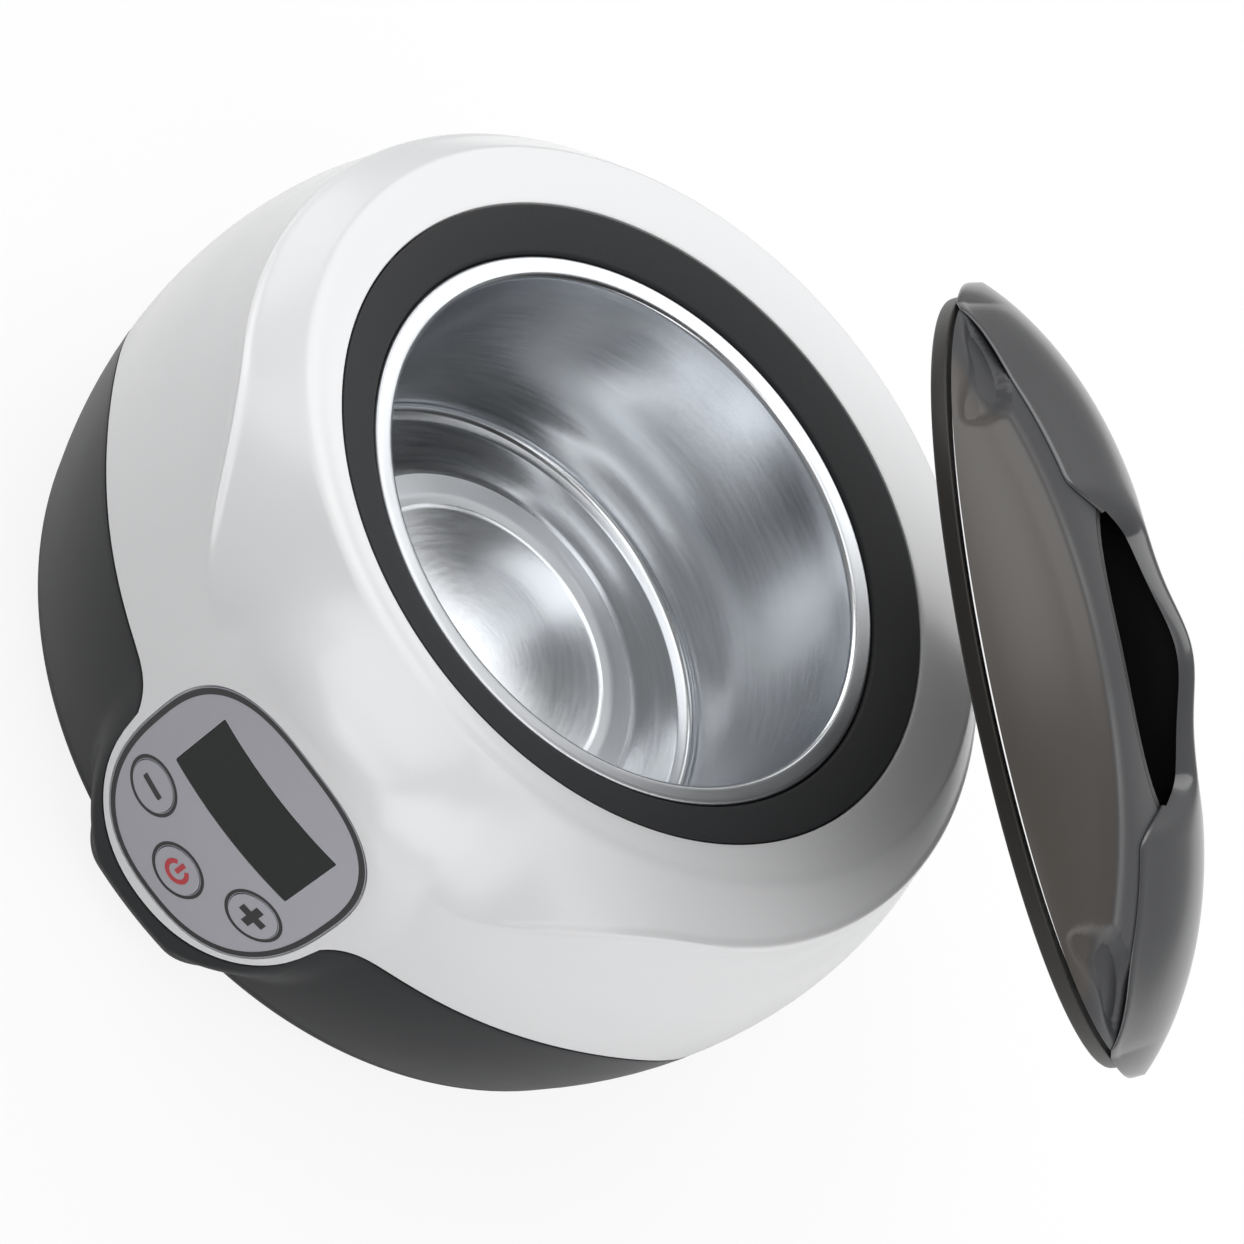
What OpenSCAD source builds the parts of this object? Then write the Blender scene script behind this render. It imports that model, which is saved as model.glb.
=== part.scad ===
// Wax warmer: a round two-shell housing around a heated well, a lift-out aluminium pot,
// a curved control panel with three keys, and a lid that lies off the pot as it is held in a hand.
// Origin: centre of the foot plane. X to the right, Y to the back, Z up. The panel faces -Y.
// Azimuths are counted from the front (-Y), positive towards +X.

/* [Housing] */
// How far the waist, the widest part, stands out past the mean edge of the top land
shoulder_w = 16.2; // [14:0.2:18]
// Height of the white top land above the table
top_z = 92; // [90:0.5:97]
// Height of the waist, where the housing is widest
waist_z = 48; // [45:1:51]
// How far the shoulder crease is drawn in from the waist radius
shoulder_in = 8.2; // [7:0.2:9]
// Height of the land above the shoulder crease
shoulder_drop = 5; // [4:0.5:6]
// How far the base wall is drawn in at its foot
base_in = 9.3; // [8:0.1:10.5]
// Height of the rounding at the base's bottom edge
base_round = 9; // [8:0.5:9.5]
// How far the rounding draws the bottom edge in
base_tuck = 7.5; // [7:0.25:8]
// Wall thickness of both shells
wall = 2.5; // [2.2:0.1:2.8]
// Height of the rubber feet below the base
foot_h = 1.5; // [1.2:0.1:2]
// Mean width of the top land round the seat ring
land_w = 11.8; // [10.8:0.2:12.8]
// How far the land's edge is shifted to the back
land_shift = 5.6; // [4.4:0.2:6]
// Gap of the seam between the two shells
seam_gap = 0.3; // [0.2:0.1:0.5]
// Height of the seam at the front and the back
seam_high = 49.8; // [47:0.4:51]
// Height of the seam at the two sides
seam_low = 25; // [23:1:30]

/* [Nose and panel] */
// How far the upright nose face that carries the panel stands out past the waist
nose_proud = 0.4; // [0:0.2:1.4]
// Half width of the nose, along the face
nose_half_w = 28.6; // [28:0.2:30]
// Half width of the printed panel, along the face
panel_half_w = 26.3; // [25.5:0.2:26.5]
// Lowest point of the printed panel
panel_low = 17.4; // [17:0.2:18]
// Highest point of the printed panel
panel_high = 78.4; // [76:0.4:79]
// Thickness of the printed panel
panel_t = 0.7; // [0.5:0.1:0.8]
// Gap round the panel's edge
panel_gap = 0.35; // [0.25:0.05:0.5]
// Width of the display window
window_w = 33.8; // [32:0.2:35]
// Height of the display window
window_h = 18.2; // [16:0.2:19]
// Height of the window's centre
window_z = 56.2; // [55:0.2:57.4]
// Radius of a key
key_r = 5.3; // [4.8:0.1:5.6]
// Side distance of the minus and plus keys
key_x = 15.7; // [15:0.1:16.4]
// Height of the minus and plus keys
key_z = 37; // [36:0.2:38]
// Height of the power key
power_key_z = 28.7; // [28:0.2:29.4]
// Travel of a key
key_travel = 0.6; // [0.3:0.1:0.7]
// Gap between a key and its hole
key_gap = 0.2; // [0.15:0.05:0.3]

/* [Seat ring and pot] */
// Width of the dished seat ring outside the pot's rim
ring_w = 9.8; // [9:0.2:10.6]
// Fall of the ring's dished face, from its edge to the pot's rim
ring_dish = 4; // [3.5:0.25:4.5]
// Clearance between the ring and the shell's opening
ring_gap = 0.3; // [0.2:0.1:0.5]
// Inner radius of the pot
pot_r = 57.5; // [56:0.5:58.5]
// Wall thickness of the pot
pot_t = 0.8; // [0.6:0.1:1]
// Width of the pot's turned-out rim
pot_rim_w = 4.7; // [4.3:0.1:5.1]
// Depth from the rim to the pot's floor
pot_depth = 59; // [56:0.5:60]
// Radius of the pressed disc in the pot's floor
pot_disc_r = 34; // [30:1:38]
// Air gap between the pot and the heated well
well_gap = 1; // [0.8:0.1:1.2]
// Wall thickness of the heated well
well_t = 1.2; // [1:0.1:1.4]

/* [Lid] */
// How far the lid's rim reaches past the seat ring
lid_over = 4; // [3:0.5:5]
// Height of the lid's straight rim
lid_rim_h = 3; // [2.5:0.25:3.5]
// Height of the dome above the straight rim
lid_dome_h = 20; // [18:0.5:22]
// Wall thickness of the dome
lid_t = 2; // [1.8:0.1:2.4]
// Highest point of the handle above the lid's rim plane
handle_top = 30.6; // [30:0.3:33]
// How far the tips of the handle band reach past the lid's rim
handle_over = 2.5; // [1.5:0.5:3.5]
// Half width of the finger recess, along the handle
recess_half_l = 33; // [31:0.5:34]
// Half width of the finger recess, across the handle
recess_half_w = 31; // [28:0.5:31.5]
// Height of the recess floor above the rim plane
recess_floor = 10; // [9:0.5:11]
// Turn of the handle about the upright axis when the lid is seated
lid_turn = -42; // [-50:1:-36]
// Angle through which the lid is swung to where it is held
lid_swing = 41.7; // [30:0.1:42]

/* [Electrics] */
// Width of the mains inlet's flange
inlet_w = 28; // [27:0.5:30]
// Height of the mains inlet's flange
inlet_h = 17; // [16:0.5:18]
// Height of the mains inlet's centre
inlet_z = 24; // [23:0.5:26]
// Thickness of the circuit boards
board_t = 1.6; // [1.2:0.1:2]
// How far the heater plate is drawn in from the pot's inner radius
heater_in = 15.5; // [11:0.5:21]

/* [Hidden] */

$fn = 96;

// Radii that follow from the pot outwards
pot_rim_r = pot_r + pot_rim_w;
ring_r = pot_rim_r + ring_w;
land_r = ring_r + land_w;
body_r = land_r + shoulder_w;
nose_r = body_r + nose_proud;
lid_r = ring_r + lid_over;
handle_half_l = lid_r + handle_over;
heater_r = pot_r - heater_in;

// Heights that follow from the driving sizes
crease_z = top_z - shoulder_drop;
land_z = top_z - 0.4;
ledge_top = top_z - 8;
ledge_t = wall;
ledge_r = ring_r - 5;
hole_r = ring_r + ring_gap;
shell_floor = foot_h + wall;

// Points along each stretch of a shell's section
curve_steps = 4;
wall_steps = 7;
base_steps = 4;

// Azimuths of the sections: close together on the nose, wider apart elsewhere
azimuths = concat([for (a = [0:1.5:22.5]) a], [for (a = [24:3:45]) a], [for (a = [48:6:312]) a],
                  [for (a = [315:3:336]) a], [for (a = [337.5:1.5:358.5]) a]);

function blend(t) = t <= 0 ? 0 : t >= 1 ? 1 : t * t * (3 - 2 * t);
function mix(a, b, t) = a + (b - a) * t;
// Azimuth as a signed angle from the front
function signed(a) = a > 180 ? a - 360 : a;
// Distance along the nose face from the middle line
function along(a) = signed(a) * PI / 180 * nose_r;

// Plain wall radius at a height, without the nose
function plain_r(z) = z > waist_z
    ? body_r - shoulder_in * pow((z - waist_z) / (crease_z - waist_z), 2)
    : body_r - base_in * pow((waist_z - z) / (waist_z - foot_h), 2);

// The nose fades out between its outline and this factor beyond it
nose_mid_z = 44;
nose_up = 37;
nose_down = 36;
nose_power = 2.3;
chin_power = 2;
nose_fade_up = 0.35;
nose_fade_down = 0.25;
function nose_reach(s, z) = let(p = z > nose_mid_z ? nose_power : chin_power)
    pow(pow(abs(s) / nose_half_w, p)
        + pow(abs(z - nose_mid_z) / (z > nose_mid_z ? nose_up : nose_down), p), 1 / p);
function nose_share(a, z) = abs(signed(a)) > 60 ? 0
    : blend(1 - (nose_reach(along(a), z) - 1) / nose_fade(z));
function nose_fade(z) = mix(nose_fade_down, nose_fade_up, blend((z - nose_mid_z + 4) / 14));
function skin_r(a, z) = mix(plain_r(z), nose_r, nose_share(a, z));

// Height of the seam: a wave that dips at the sides and runs round the nose's lower edge
lip_mid_z = 44;
lip_drop = 30;
lip_power = 2.2;
curl_depth = 8.5;
curl_length = 3.2;
function seam_wave(a) = mix(seam_high, seam_low, pow(abs(sin(a)), 12));
function lip_z(s) = lip_mid_z - lip_drop * pow(1 - pow(abs(s) / nose_half_w, lip_power), 1 / lip_power);
function seam_z(a) = let(s = abs(along(a)), edge = nose_half_w - 0.4)
    abs(signed(a)) > 60 ? seam_wave(a)
    : s < edge ? lip_z(s)
    : seam_wave(a) - curl_depth * exp(-(s - edge) / curl_length);

// Height at which the wall turns into the top: the nose's brow, then the crease that climbs from
// beside the nose and runs level round the back. The two are joined by a soft maximum.
brow_half_w = nose_half_w + 1.4;
crease_level_at = 50;
crease_climb = 24;
crease_fall = 14;
function brow_z(s) = abs(s) >= brow_half_w ? nose_mid_z
    : nose_mid_z + nose_up * pow(1 - pow(abs(s) / brow_half_w, nose_power), 1 / nose_power);
function held_square(t) = t * t / pow(1 + pow(t * t / 1.15, 6), 1 / 6);
function side_z(a) = crease_z
    - crease_fall * held_square(max(0, crease_level_at - abs(signed(a))) / crease_climb);
function soft_max(u, v) = (u + v + sqrt(pow(u - v, 2) + 16)) / 2;
function turn_z(a) = abs(signed(a)) > 60 ? side_z(a) : soft_max(brow_z(along(a)), side_z(a));
function land_edge(a) = land_r - land_shift * cos(a);

// Point of the top curve, from the land's edge (t = 0) to the turn (t = 1): nearly straight at the
// sides, a bulge with a hollow start above the nose
function top_point(a, t) = let(r0 = land_edge(a), z1 = turn_z(a), r1 = skin_r(a, z1),
    side = blend((abs(signed(a)) - 6) / 22),
    r2 = mix(r0, r1, mix(0.27, 0.33, side)), z2 = mix(land_z, z1, mix(0.21, 0.28, side)),
    r3 = mix(r0, r1, mix(0.85, 0.67, side)), z3 = mix(land_z, z1, mix(0.16, 0.61, side)),
    b = [pow(1 - t, 3), 3 * t * pow(1 - t, 2), 3 * t * t * (1 - t), pow(t, 3)])
    [b * [r0, r2, r3, r1], b * [land_z, z2, z3, z1]];

// Section of the upper shell at azimuth a, as [radius, height] points round its loop
function upper_section(a) = let(zt = turn_z(a), zs = seam_z(a)) concat(
    [[ledge_r, ledge_top], [hole_r, ledge_top], [hole_r, top_z], [land_edge(a), land_z]],
    [for (i = [1:curve_steps]) top_point(a, i / curve_steps)],
    [for (i = [1:wall_steps]) let(z = mix(zt, zs, i / wall_steps)) [skin_r(a, z), z]],
    [for (i = [wall_steps:-1:1]) let(z = mix(zt, zs, i / wall_steps)) [skin_r(a, z) - wall, z]],
    [for (i = [curve_steps:-1:1]) let(p = top_point(a, i / curve_steps), t = i / curve_steps)
        [p[0] - wall * mix(0.1, 0.9, t), p[1] - wall * mix(1, 0.55, t)]],
    [[max(land_edge(a) - 0.5, hole_r + wall + 0.2), land_z - wall], [hole_r + wall, land_z - wall],
     [hole_r + wall, ledge_top - ledge_t], [ledge_r, ledge_top - ledge_t]]);

// Bottom plate opening in the base
plate_r = body_r - 55;
plate_t = 1.6;
plate_gap = 0.3;
plate_lip = 7;
plate_recess = plate_t + 0.2;
collar_z = foot_h + plate_recess + wall;
// Tongue of the base that stands up inside the upper shell
tongue_t = 1.5;
tongue_h = 2.5;
tongue_gap = 0.3;
tongue_root = 2.2;

// Section of the base shell at azimuth a
function base_section(a) = let(zt = seam_z(a) - seam_gap, zr = foot_h + base_round, rr = skin_r(a, zr),
    inset = wall + tongue_gap) concat(
    [for (i = [0:base_steps]) let(z = mix(zt, zr, i / base_steps)) [skin_r(a, z), z]],
    [for (t = [0.3, 0.6, 0.8, 1]) [rr - base_tuck * pow(t, 1.6), zr - base_round * t]],
    [[plate_r + plate_gap, foot_h], [plate_r + plate_gap, foot_h + plate_recess],
     [plate_r - plate_lip, foot_h + plate_recess], [plate_r - plate_lip, collar_z],
     [plate_r + 3, collar_z], [plate_r + 5, shell_floor],
     [rr - wall - base_tuck + 1, shell_floor], [rr - wall - 3, shell_floor + 2.5], [rr - wall, zr - 1.5]],
    [for (i = [2, 1]) let(z = mix(zt - tongue_root - 0.6, zr - 1, i / 3)) [skin_r(a, z) - wall, z]],
    [[skin_r(a, zt - tongue_root) - inset - tongue_t, zt - tongue_root],
     [skin_r(a, zt + tongue_h) - inset - tongue_t, zt + tongue_h],
     [skin_r(a, zt + tongue_h) - inset, zt + tongue_h],
     [skin_r(a, zt) - inset, zt]]);

// Solid through a ring of closed sections, one at each azimuth
module ring_loft(sections) {
    n = len(sections);
    m = len(sections[0]);
    points = [for (j = [0:n - 1]) for (p = sections[j])
        [p[0] * sin(azimuths[j]), -p[0] * cos(azimuths[j]), p[1]]];
    faces = [for (j = [0:n - 1]) for (i = [0:m - 1]) let(k = (j + 1) % n, l = (i + 1) % m)
        each [[j * m + i, k * m + l, j * m + l], [j * m + i, k * m + i, k * m + l]]];
    polyhedron(points, faces);
}

// Places children at an azimuth and radius
module at_azimuth(a, r) {
    translate([r * sin(a), -r * cos(a), 0]) children();
}

// Prism of a front-view outline, from y = -near to y = -far
module front_prism(outline, near, far) {
    translate([0, -near, 0]) rotate([90, 0, 0]) linear_extrude(far - near) polygon(outline);
}

// Rounded cylinder wall round the upright axis
module tube_wall(r_in, r_out, z0, z1) {
    translate([0, 0, z0]) difference() {
        cylinder(r = r_out, h = z1 - z0);
        translate([0, 0, -1]) cylinder(r = r_in, h = z1 - z0 + 2);
    }
}

// Front cylinder along Y, from y = -near to y = -far
module front_rod(x, z, r, near, far) {
    translate([x, -near, z]) rotate([90, 0, 0]) cylinder(r = r, h = far - near);
}

// Box given by its low and high corners
module corners(low, high) {
    translate(low) cube(high - low);
}

// Outline of the panel in front view, grown by an amount
panel_mid_z = 50;
panel_power_up = 2.5;
panel_power_down = 2.7;
panel_points = 64;
function sign_power(v, p) = sign(v) * pow(abs(v), 2 / p);
function panel_outline(grow) = [for (i = [0:panel_points - 1]) let(u = i * 360 / panel_points,
    p = sin(u) > 0 ? panel_power_up : panel_power_down,
    s = (panel_half_w + grow) * sign_power(cos(u), p),
    h = (sin(u) > 0 ? panel_high - panel_mid_z : panel_mid_z - panel_low) + grow)
    [nose_r * sin(s / nose_r * 180 / PI), panel_mid_z + h * sign_power(sin(u), p)]];

// Front-view rectangle round a centre height
function front_rect(w, h, z) = let(x = w / 2, y = h / 2)
    [[-x, z - y], [x, z - y], [x, z + y], [-x, z + y]];

// Panel layers, by radius
cut_near = nose_r - 10.4;
cut_far = nose_r + 9.6;
recess_r = nose_r - panel_t - 0.1;
inner_face_r = nose_r - wall;
window_gap = 0.15;
window_flange = 1.3;
window_flange_t = 1;
keys = [[-key_x, key_z], [0, power_key_z], [key_x, key_z]];

// Control board behind the panel
board_front = nose_r - 12.4;
board_half_w = 24;
board_low = 18;
board_high = 73;
control_posts = [[-19.5, 70], [19.5, 70], [-13.5, 24.5], [13.5, 24.5]];
control_post_r = 2.6;
pilot_r = 1;
thread_r = 0.95;

// Case screws: long posts in the upper shell meet posts in the base
case_azimuths = [45, 135, 225, 315];
case_r = body_r - 20;
post_r = 4;
post_meet = 30;
post_gap = 0.1;
case_bore = 1.6;
case_thread = 1.45;
case_head_r = 2.8;
case_head_h = 2;
case_seat = 20;
case_length = 18;
function post_top(a) = top_z - 3.4 + 0.4 * (1 - cos(a));

// Screws that hold the seat ring to the ledge, and the well's flange to the ring
ring_screw_azimuths = [0, 90, 180, 270];
ring_screw_r = (ledge_r + ring_r) / 2 + 0.1;
small_bore = 1.4;
small_thread = 1.15;
small_head_r = 2.2;
small_head_h = 1.3;
small_pilot = 1.2;

// Upper shell: white, with the nose, the panel's recess, the posts and the ring's ledge
module upper_shell() {
    color("white") difference() {
        union() {
            ring_loft([for (a = azimuths) upper_section(a)]);
            for (a = case_azimuths) at_azimuth(a, case_r) translate([0, 0, post_meet + post_gap])
                cylinder(r = post_r, h = post_top(a) - post_meet - post_gap);
            for (p = control_posts) front_rod(p[0], p[1], control_post_r, board_front, post_root(p[0]));
        }
        for (a = case_azimuths) at_azimuth(a, case_r)
            translate([0, 0, post_meet - 1]) cylinder(r = case_thread + 0.05, h = 14);
        for (p = control_posts) front_rod(p[0], p[1], pilot_r, board_front - 1, board_front + 5);
        for (a = ring_screw_azimuths) at_azimuth(a, ring_screw_r)
            translate([0, 0, ledge_top - ledge_t - 1]) cylinder(r = small_bore, h = ledge_t + 2);
        intersection() {
            front_prism(panel_outline(panel_gap), cut_near - 10, cut_far);
            tube_wall(recess_r, nose_r + 6, panel_low - 5, panel_high + 5);
        }
        window_cut();
        for (k = keys) front_rod(k[0], k[1], key_r + key_gap, cut_near, cut_far);
    }
}
// Opening for the display window
module window_cut() {
    front_prism(front_rect(window_w + 2 * window_gap, window_h + 2 * window_gap, window_z),
                cut_near, cut_far);
}
// Depth of the nose's wall behind a post at side distance x
function post_root(x) = sqrt(pow(inner_face_r + 0.8, 2) - x * x);

// Mains inlet's seat at the back of the base
inlet_seat_y = body_r - 7.5;
inlet_flange_t = 1.5;
inlet_body_w = inlet_w - 6;
inlet_body_h = inlet_h - 3;
inlet_gap = 0.2;
inlet_block_t = 3.2;

// Feet: round rubber feet with a stem pushed into the base
foot_azimuths = [30, 150, 210, 330];
foot_place_r = body_r - 26;
foot_r = 7;
foot_stem_r = 3;
foot_gap = 0.05;

// Power board on posts at the right
board_high_x = body_r - 21;
board_low_x = board_high_x - 30;
board_half_y = 29;
power_board_z = shell_floor + 4.5;
power_posts = [for (x = [board_low_x + 4, board_high_x - 5], y = [-1, 1] * (board_half_y - 4)) [x, y]];
power_post_r = 3;

// Screws of the bottom plate
plate_screw_azimuths = [60, 180, 300];
plate_screw_r = plate_r - 3.5;
plate_head_h = 1.2;

// Base shell: black, with the floor, the posts and the inlet's seat
module base_shell() {
    color("dimgray") difference() {
        union() {
            ring_loft([for (a = azimuths) base_section(a)]);
            for (a = case_azimuths) at_azimuth(a, case_r)
                translate([0, 0, foot_h + 1]) cylinder(r = post_r, h = post_meet - foot_h - 1);
            for (p = power_posts) translate([p[0], p[1], foot_h + 1])
                cylinder(r = power_post_r, h = power_board_z - foot_h - 1);
            corners([-inlet_w / 2 - 2, inlet_seat_y - inlet_block_t, inlet_z - inlet_h / 2 - 2],
                    [inlet_w / 2 + 2, inlet_seat_y, inlet_z + inlet_h / 2 + 2]);
        }
        for (a = case_azimuths) at_azimuth(a, case_r) {
            translate([0, 0, foot_h - 1]) cylinder(r = case_bore, h = post_meet - foot_h + 2);
            translate([0, 0, foot_h - 1]) cylinder(r = case_head_r + 0.3, h = case_seat - foot_h + 1);
        }
        for (p = power_posts) translate([p[0], p[1], shell_floor - 1]) cylinder(r = pilot_r, h = 10);
        for (a = foot_azimuths) at_azimuth(a, foot_place_r)
            translate([0, 0, foot_h - 1]) cylinder(r = foot_stem_r + foot_gap, h = wall + 2);
        for (a = plate_screw_azimuths) at_azimuth(a, plate_screw_r)
            translate([0, 0, foot_h]) cylinder(r = pilot_r, h = 10);
        corners([-inlet_w / 2 - inlet_gap, inlet_seat_y, inlet_z - inlet_h / 2 - inlet_gap],
                [inlet_w / 2 + inlet_gap, body_r + 5, inlet_z + inlet_h / 2 + inlet_gap]);
        corners([-inlet_body_w / 2 - inlet_gap, inlet_seat_y - 10, inlet_z - inlet_body_h / 2 - inlet_gap],
                [inlet_body_w / 2 + inlet_gap, body_r + 5, inlet_z + inlet_body_h / 2 + inlet_gap]);
    }
}

// Bottom plate: round cover with two rings of vents
vent_r = 1.8;
module bottom_plate() {
    color("gray") difference() {
        translate([0, 0, foot_h]) cylinder(r = plate_r, h = plate_t);
        for (ring = [[12, 8], [24, 16]]) for (i = [0:ring[1] - 1]) at_azimuth(i * 360 / ring[1], ring[0])
            translate([0, 0, foot_h - 1]) cylinder(r = vent_r, h = plate_t + 2);
        for (a = plate_screw_azimuths) at_azimuth(a, plate_screw_r) {
            translate([0, 0, foot_h - 1]) cylinder(r = thread_r + 0.15, h = plate_t + 2);
            translate([0, 0, foot_h - 0.01])
                cylinder(r1 = small_head_r + 0.15, r2 = thread_r + 0.15, h = plate_head_h + 0.1);
        }
    }
}

// Self-tapping screw, head down at height z
module screw(z, r, length, head_r, head_h) {
    translate([0, 0, z - head_h]) cylinder(r1 = head_r * 0.8, r2 = head_r, h = head_h);
    translate([0, 0, z - 0.01]) cylinder(r = r, h = length);
}

// The plate's screws are countersunk, so the face under the warmer stays flat
module plate_screws() {
    color("silver") for (a = plate_screw_azimuths) at_azimuth(a, plate_screw_r) {
        translate([0, 0, foot_h + 0.1]) cylinder(r1 = small_head_r, r2 = thread_r, h = plate_head_h);
        translate([0, 0, foot_h + plate_head_h]) cylinder(r = thread_r, h = 4.5);
    }
}

module case_screws() {
    color("silver") for (a = case_azimuths) at_azimuth(a, case_r)
        screw(case_seat, case_thread, case_length, case_head_r, case_head_h);
}

module rubber_feet() {
    color("black") for (a = foot_azimuths) at_azimuth(a, foot_place_r) {
        cylinder(r = foot_r, h = foot_h);
        cylinder(r = foot_stem_r, h = foot_h + wall + 1.5);
    }
}

// Seat ring: dished face outside, a step inside that carries the pot's rim
rim_gap = 0.4;
rim_seat_z = top_z - ring_dish - 2;
ring_inner_r = pot_r + pot_t + 2.5;
module seat_ring() {
    color("darkslategray") difference() {
        rotate_extrude() polygon([
            [ring_inner_r, ledge_top], [ring_r, ledge_top], [ring_r, top_z - 0.3],
            [ring_r - 0.3, top_z], [pot_rim_r + rim_gap, top_z - ring_dish],
            [pot_rim_r + rim_gap, rim_seat_z], [ring_inner_r, rim_seat_z]]);
        for (a = ring_screw_azimuths) at_azimuth(a, ring_screw_r)
            translate([0, 0, ledge_top - 1]) cylinder(r = small_pilot, h = 5.5);
        for (a = case_azimuths) at_azimuth(a, well_screw_r)
            translate([0, 0, ledge_top - 1]) cylinder(r = small_pilot, h = 4);
    }
}

module ring_screws() {
    color("silver") for (a = ring_screw_azimuths) at_azimuth(a, ring_screw_r)
        screw(ledge_top - ledge_t, small_thread, ledge_t + 3.5, small_head_r, small_head_h);
}

// Pot: spun aluminium with a turned-out rim and a pressed disc in the floor
pot_mouth_z = top_z - ring_dish - 0.6;
pot_floor_z = pot_mouth_z + 0.6 - pot_depth;
pot_corner_r = 2.5;
pot_disc_drop = 1.1;
rim_curl = 0.9;
function arc_points(cx, cy, r, from, to, steps) =
    [for (i = [0:steps]) let(u = mix(from, to, i / steps)) [cx + r * cos(u), cy + r * sin(u)]];
module inner_pot() {
    lip_r = 1.6;
    floor_out = pot_floor_z - pot_t;
    color("lightgray") rotate_extrude() polygon(concat(
        [[0, pot_floor_z], [pot_disc_r, pot_floor_z], [pot_disc_r + 7, pot_floor_z + pot_disc_drop]],
        arc_points(pot_r - pot_corner_r, pot_floor_z + pot_disc_drop + pot_corner_r,
                   pot_corner_r, -90, 0, 6),
        arc_points(pot_r + lip_r, pot_mouth_z - lip_r, lip_r, 180, 90, 6),
        arc_points(pot_rim_r - rim_curl, rim_seat_z + rim_curl, rim_curl, 90, -90, 10),
        [[pot_rim_r - 1.6 * rim_curl, rim_seat_z + 0.5], [pot_rim_r - 2 * rim_curl, pot_mouth_z - pot_t]],
        arc_points(pot_r + lip_r, pot_mouth_z - lip_r, lip_r - pot_t, 90, 180, 6),
        arc_points(pot_r - pot_corner_r, pot_floor_z + pot_disc_drop + pot_corner_r,
                   pot_corner_r + pot_t, 0, -90, 6),
        [[pot_disc_r + 7.3, floor_out + pot_disc_drop], [pot_disc_r + 0.3, floor_out], [0, floor_out]]));
}

// Heated well: aluminium cup that hangs from the seat ring by its flange
well_in_r = pot_r + pot_t + well_gap;
well_out_r = well_in_r + well_t;
well_flange_r = ledge_r - 0.5;
well_screw_r = well_flange_r - 2.6;
well_floor_z = pot_floor_z - pot_t - 0.4;
well_floor_t = 1.6;
well_bottom = well_floor_z - well_floor_t;
stud_r = 2;
stud_l = 12;
module heater_well() {
    color("silver") {
        difference() {
            rotate_extrude() polygon([
                [0, well_bottom], [well_out_r, well_bottom], [well_out_r, ledge_top - well_t],
                [well_flange_r, ledge_top - well_t], [well_flange_r, ledge_top],
                [well_in_r, ledge_top], [well_in_r, well_floor_z], [0, well_floor_z]]);
            for (a = case_azimuths) at_azimuth(a, well_screw_r)
                translate([0, 0, ledge_top - well_t - 1]) cylinder(r = small_bore, h = well_t + 2);
        }
        translate([0, 0, well_bottom - stud_l]) cylinder(r = stud_r, h = stud_l + 0.5);
    }
}

module well_screws() {
    color("silver") for (a = case_azimuths) at_azimuth(a, well_screw_r)
        screw(ledge_top - well_t, small_thread, well_t + 2.5, small_head_r, small_head_h);
}

blanket_gap = 0.3;
blanket_t = 4.5;
module insulation_blanket() {
    color("beige") tube_wall(well_out_r + blanket_gap, well_out_r + blanket_gap + blanket_t,
                             well_bottom + 2, ledge_top - 8);
}

// Heater stack under the well: mica plate, steel clamp plate and nut on the well's stud
heater_t = 3;
clamp_t = 1.5;
clamp_top = well_bottom - heater_t;
clamp_bottom = clamp_top - clamp_t;
nut_h = 3.2;
module heater_plate() {
    color("tan") translate([0, 0, clamp_top]) difference() {
        cylinder(r = heater_r, h = heater_t);
        translate([0, 0, -1]) cylinder(r = stud_r + 0.3, h = heater_t + 2);
    }
}
module clamp_plate() {
    color("lightsteelblue") translate([0, 0, clamp_bottom]) difference() {
        cylinder(r = heater_r + 2, h = clamp_t);
        translate([0, 0, -1]) cylinder(r = stud_r + 0.3, h = clamp_t + 2);
    }
}
module clamp_nut() {
    color("silver") translate([0, 0, clamp_bottom - nut_h]) difference() {
        cylinder(r = 4, h = nut_h, $fn = 6);
        translate([0, 0, -1]) cylinder(r = stud_r + 0.05, h = nut_h + 2);
    }
}

// Sensor and fuse lie under the clamp plate in strap clips
sensor_x = 18 - heater_r;
sensor_r = 2.5;
sensor_l = 16;
fuse_x = heater_r - 18;
fuse_r = 2;
fuse_l = 12;
strap_t = 0.6;
strap_w = 8;
module capsule(x, r, l) {
    translate([x, -l / 2, clamp_bottom - r - 0.05]) rotate([-90, 0, 0]) cylinder(r = r, h = l);
}
module strap(x, r) {
    difference() {
        union() {
            translate([x, -strap_w / 2, clamp_bottom - r - 0.05]) rotate([-90, 0, 0])
                cylinder(r = r + 0.1 + strap_t, h = strap_w);
            corners([x - r - 6, -strap_w / 2, clamp_bottom - strap_t],
                    [x + r + 6, strap_w / 2, clamp_bottom]);
        }
        translate([x, -strap_w, clamp_bottom - r - 0.05]) rotate([-90, 0, 0])
            cylinder(r = r + 0.1, h = 2 * strap_w);
        corners([x - 20, -strap_w, clamp_bottom], [x + 20, strap_w, clamp_bottom + 10]);
    }
}
module temperature_sensor() { color("gold") capsule(sensor_x, sensor_r, sensor_l); }
module sensor_clip() { color("silver") strap(sensor_x, sensor_r); }
module thermal_fuse() { color("ivory") capsule(fuse_x, fuse_r, fuse_l); }
module fuse_clip() { color("silver") strap(fuse_x, fuse_r); }

// Printed panel: a curved sheet with openings for the window and the keys
module panel_overlay() {
    color("thistle") difference() {
        intersection() {
            front_prism(panel_outline(0), cut_near - 10, cut_far);
            tube_wall(recess_r, recess_r + panel_t, panel_low - 5, panel_high + 5);
        }
        window_cut();
        for (k = keys) front_rod(k[0], k[1], key_r + key_gap, cut_near, cut_far);
    }
}

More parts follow.
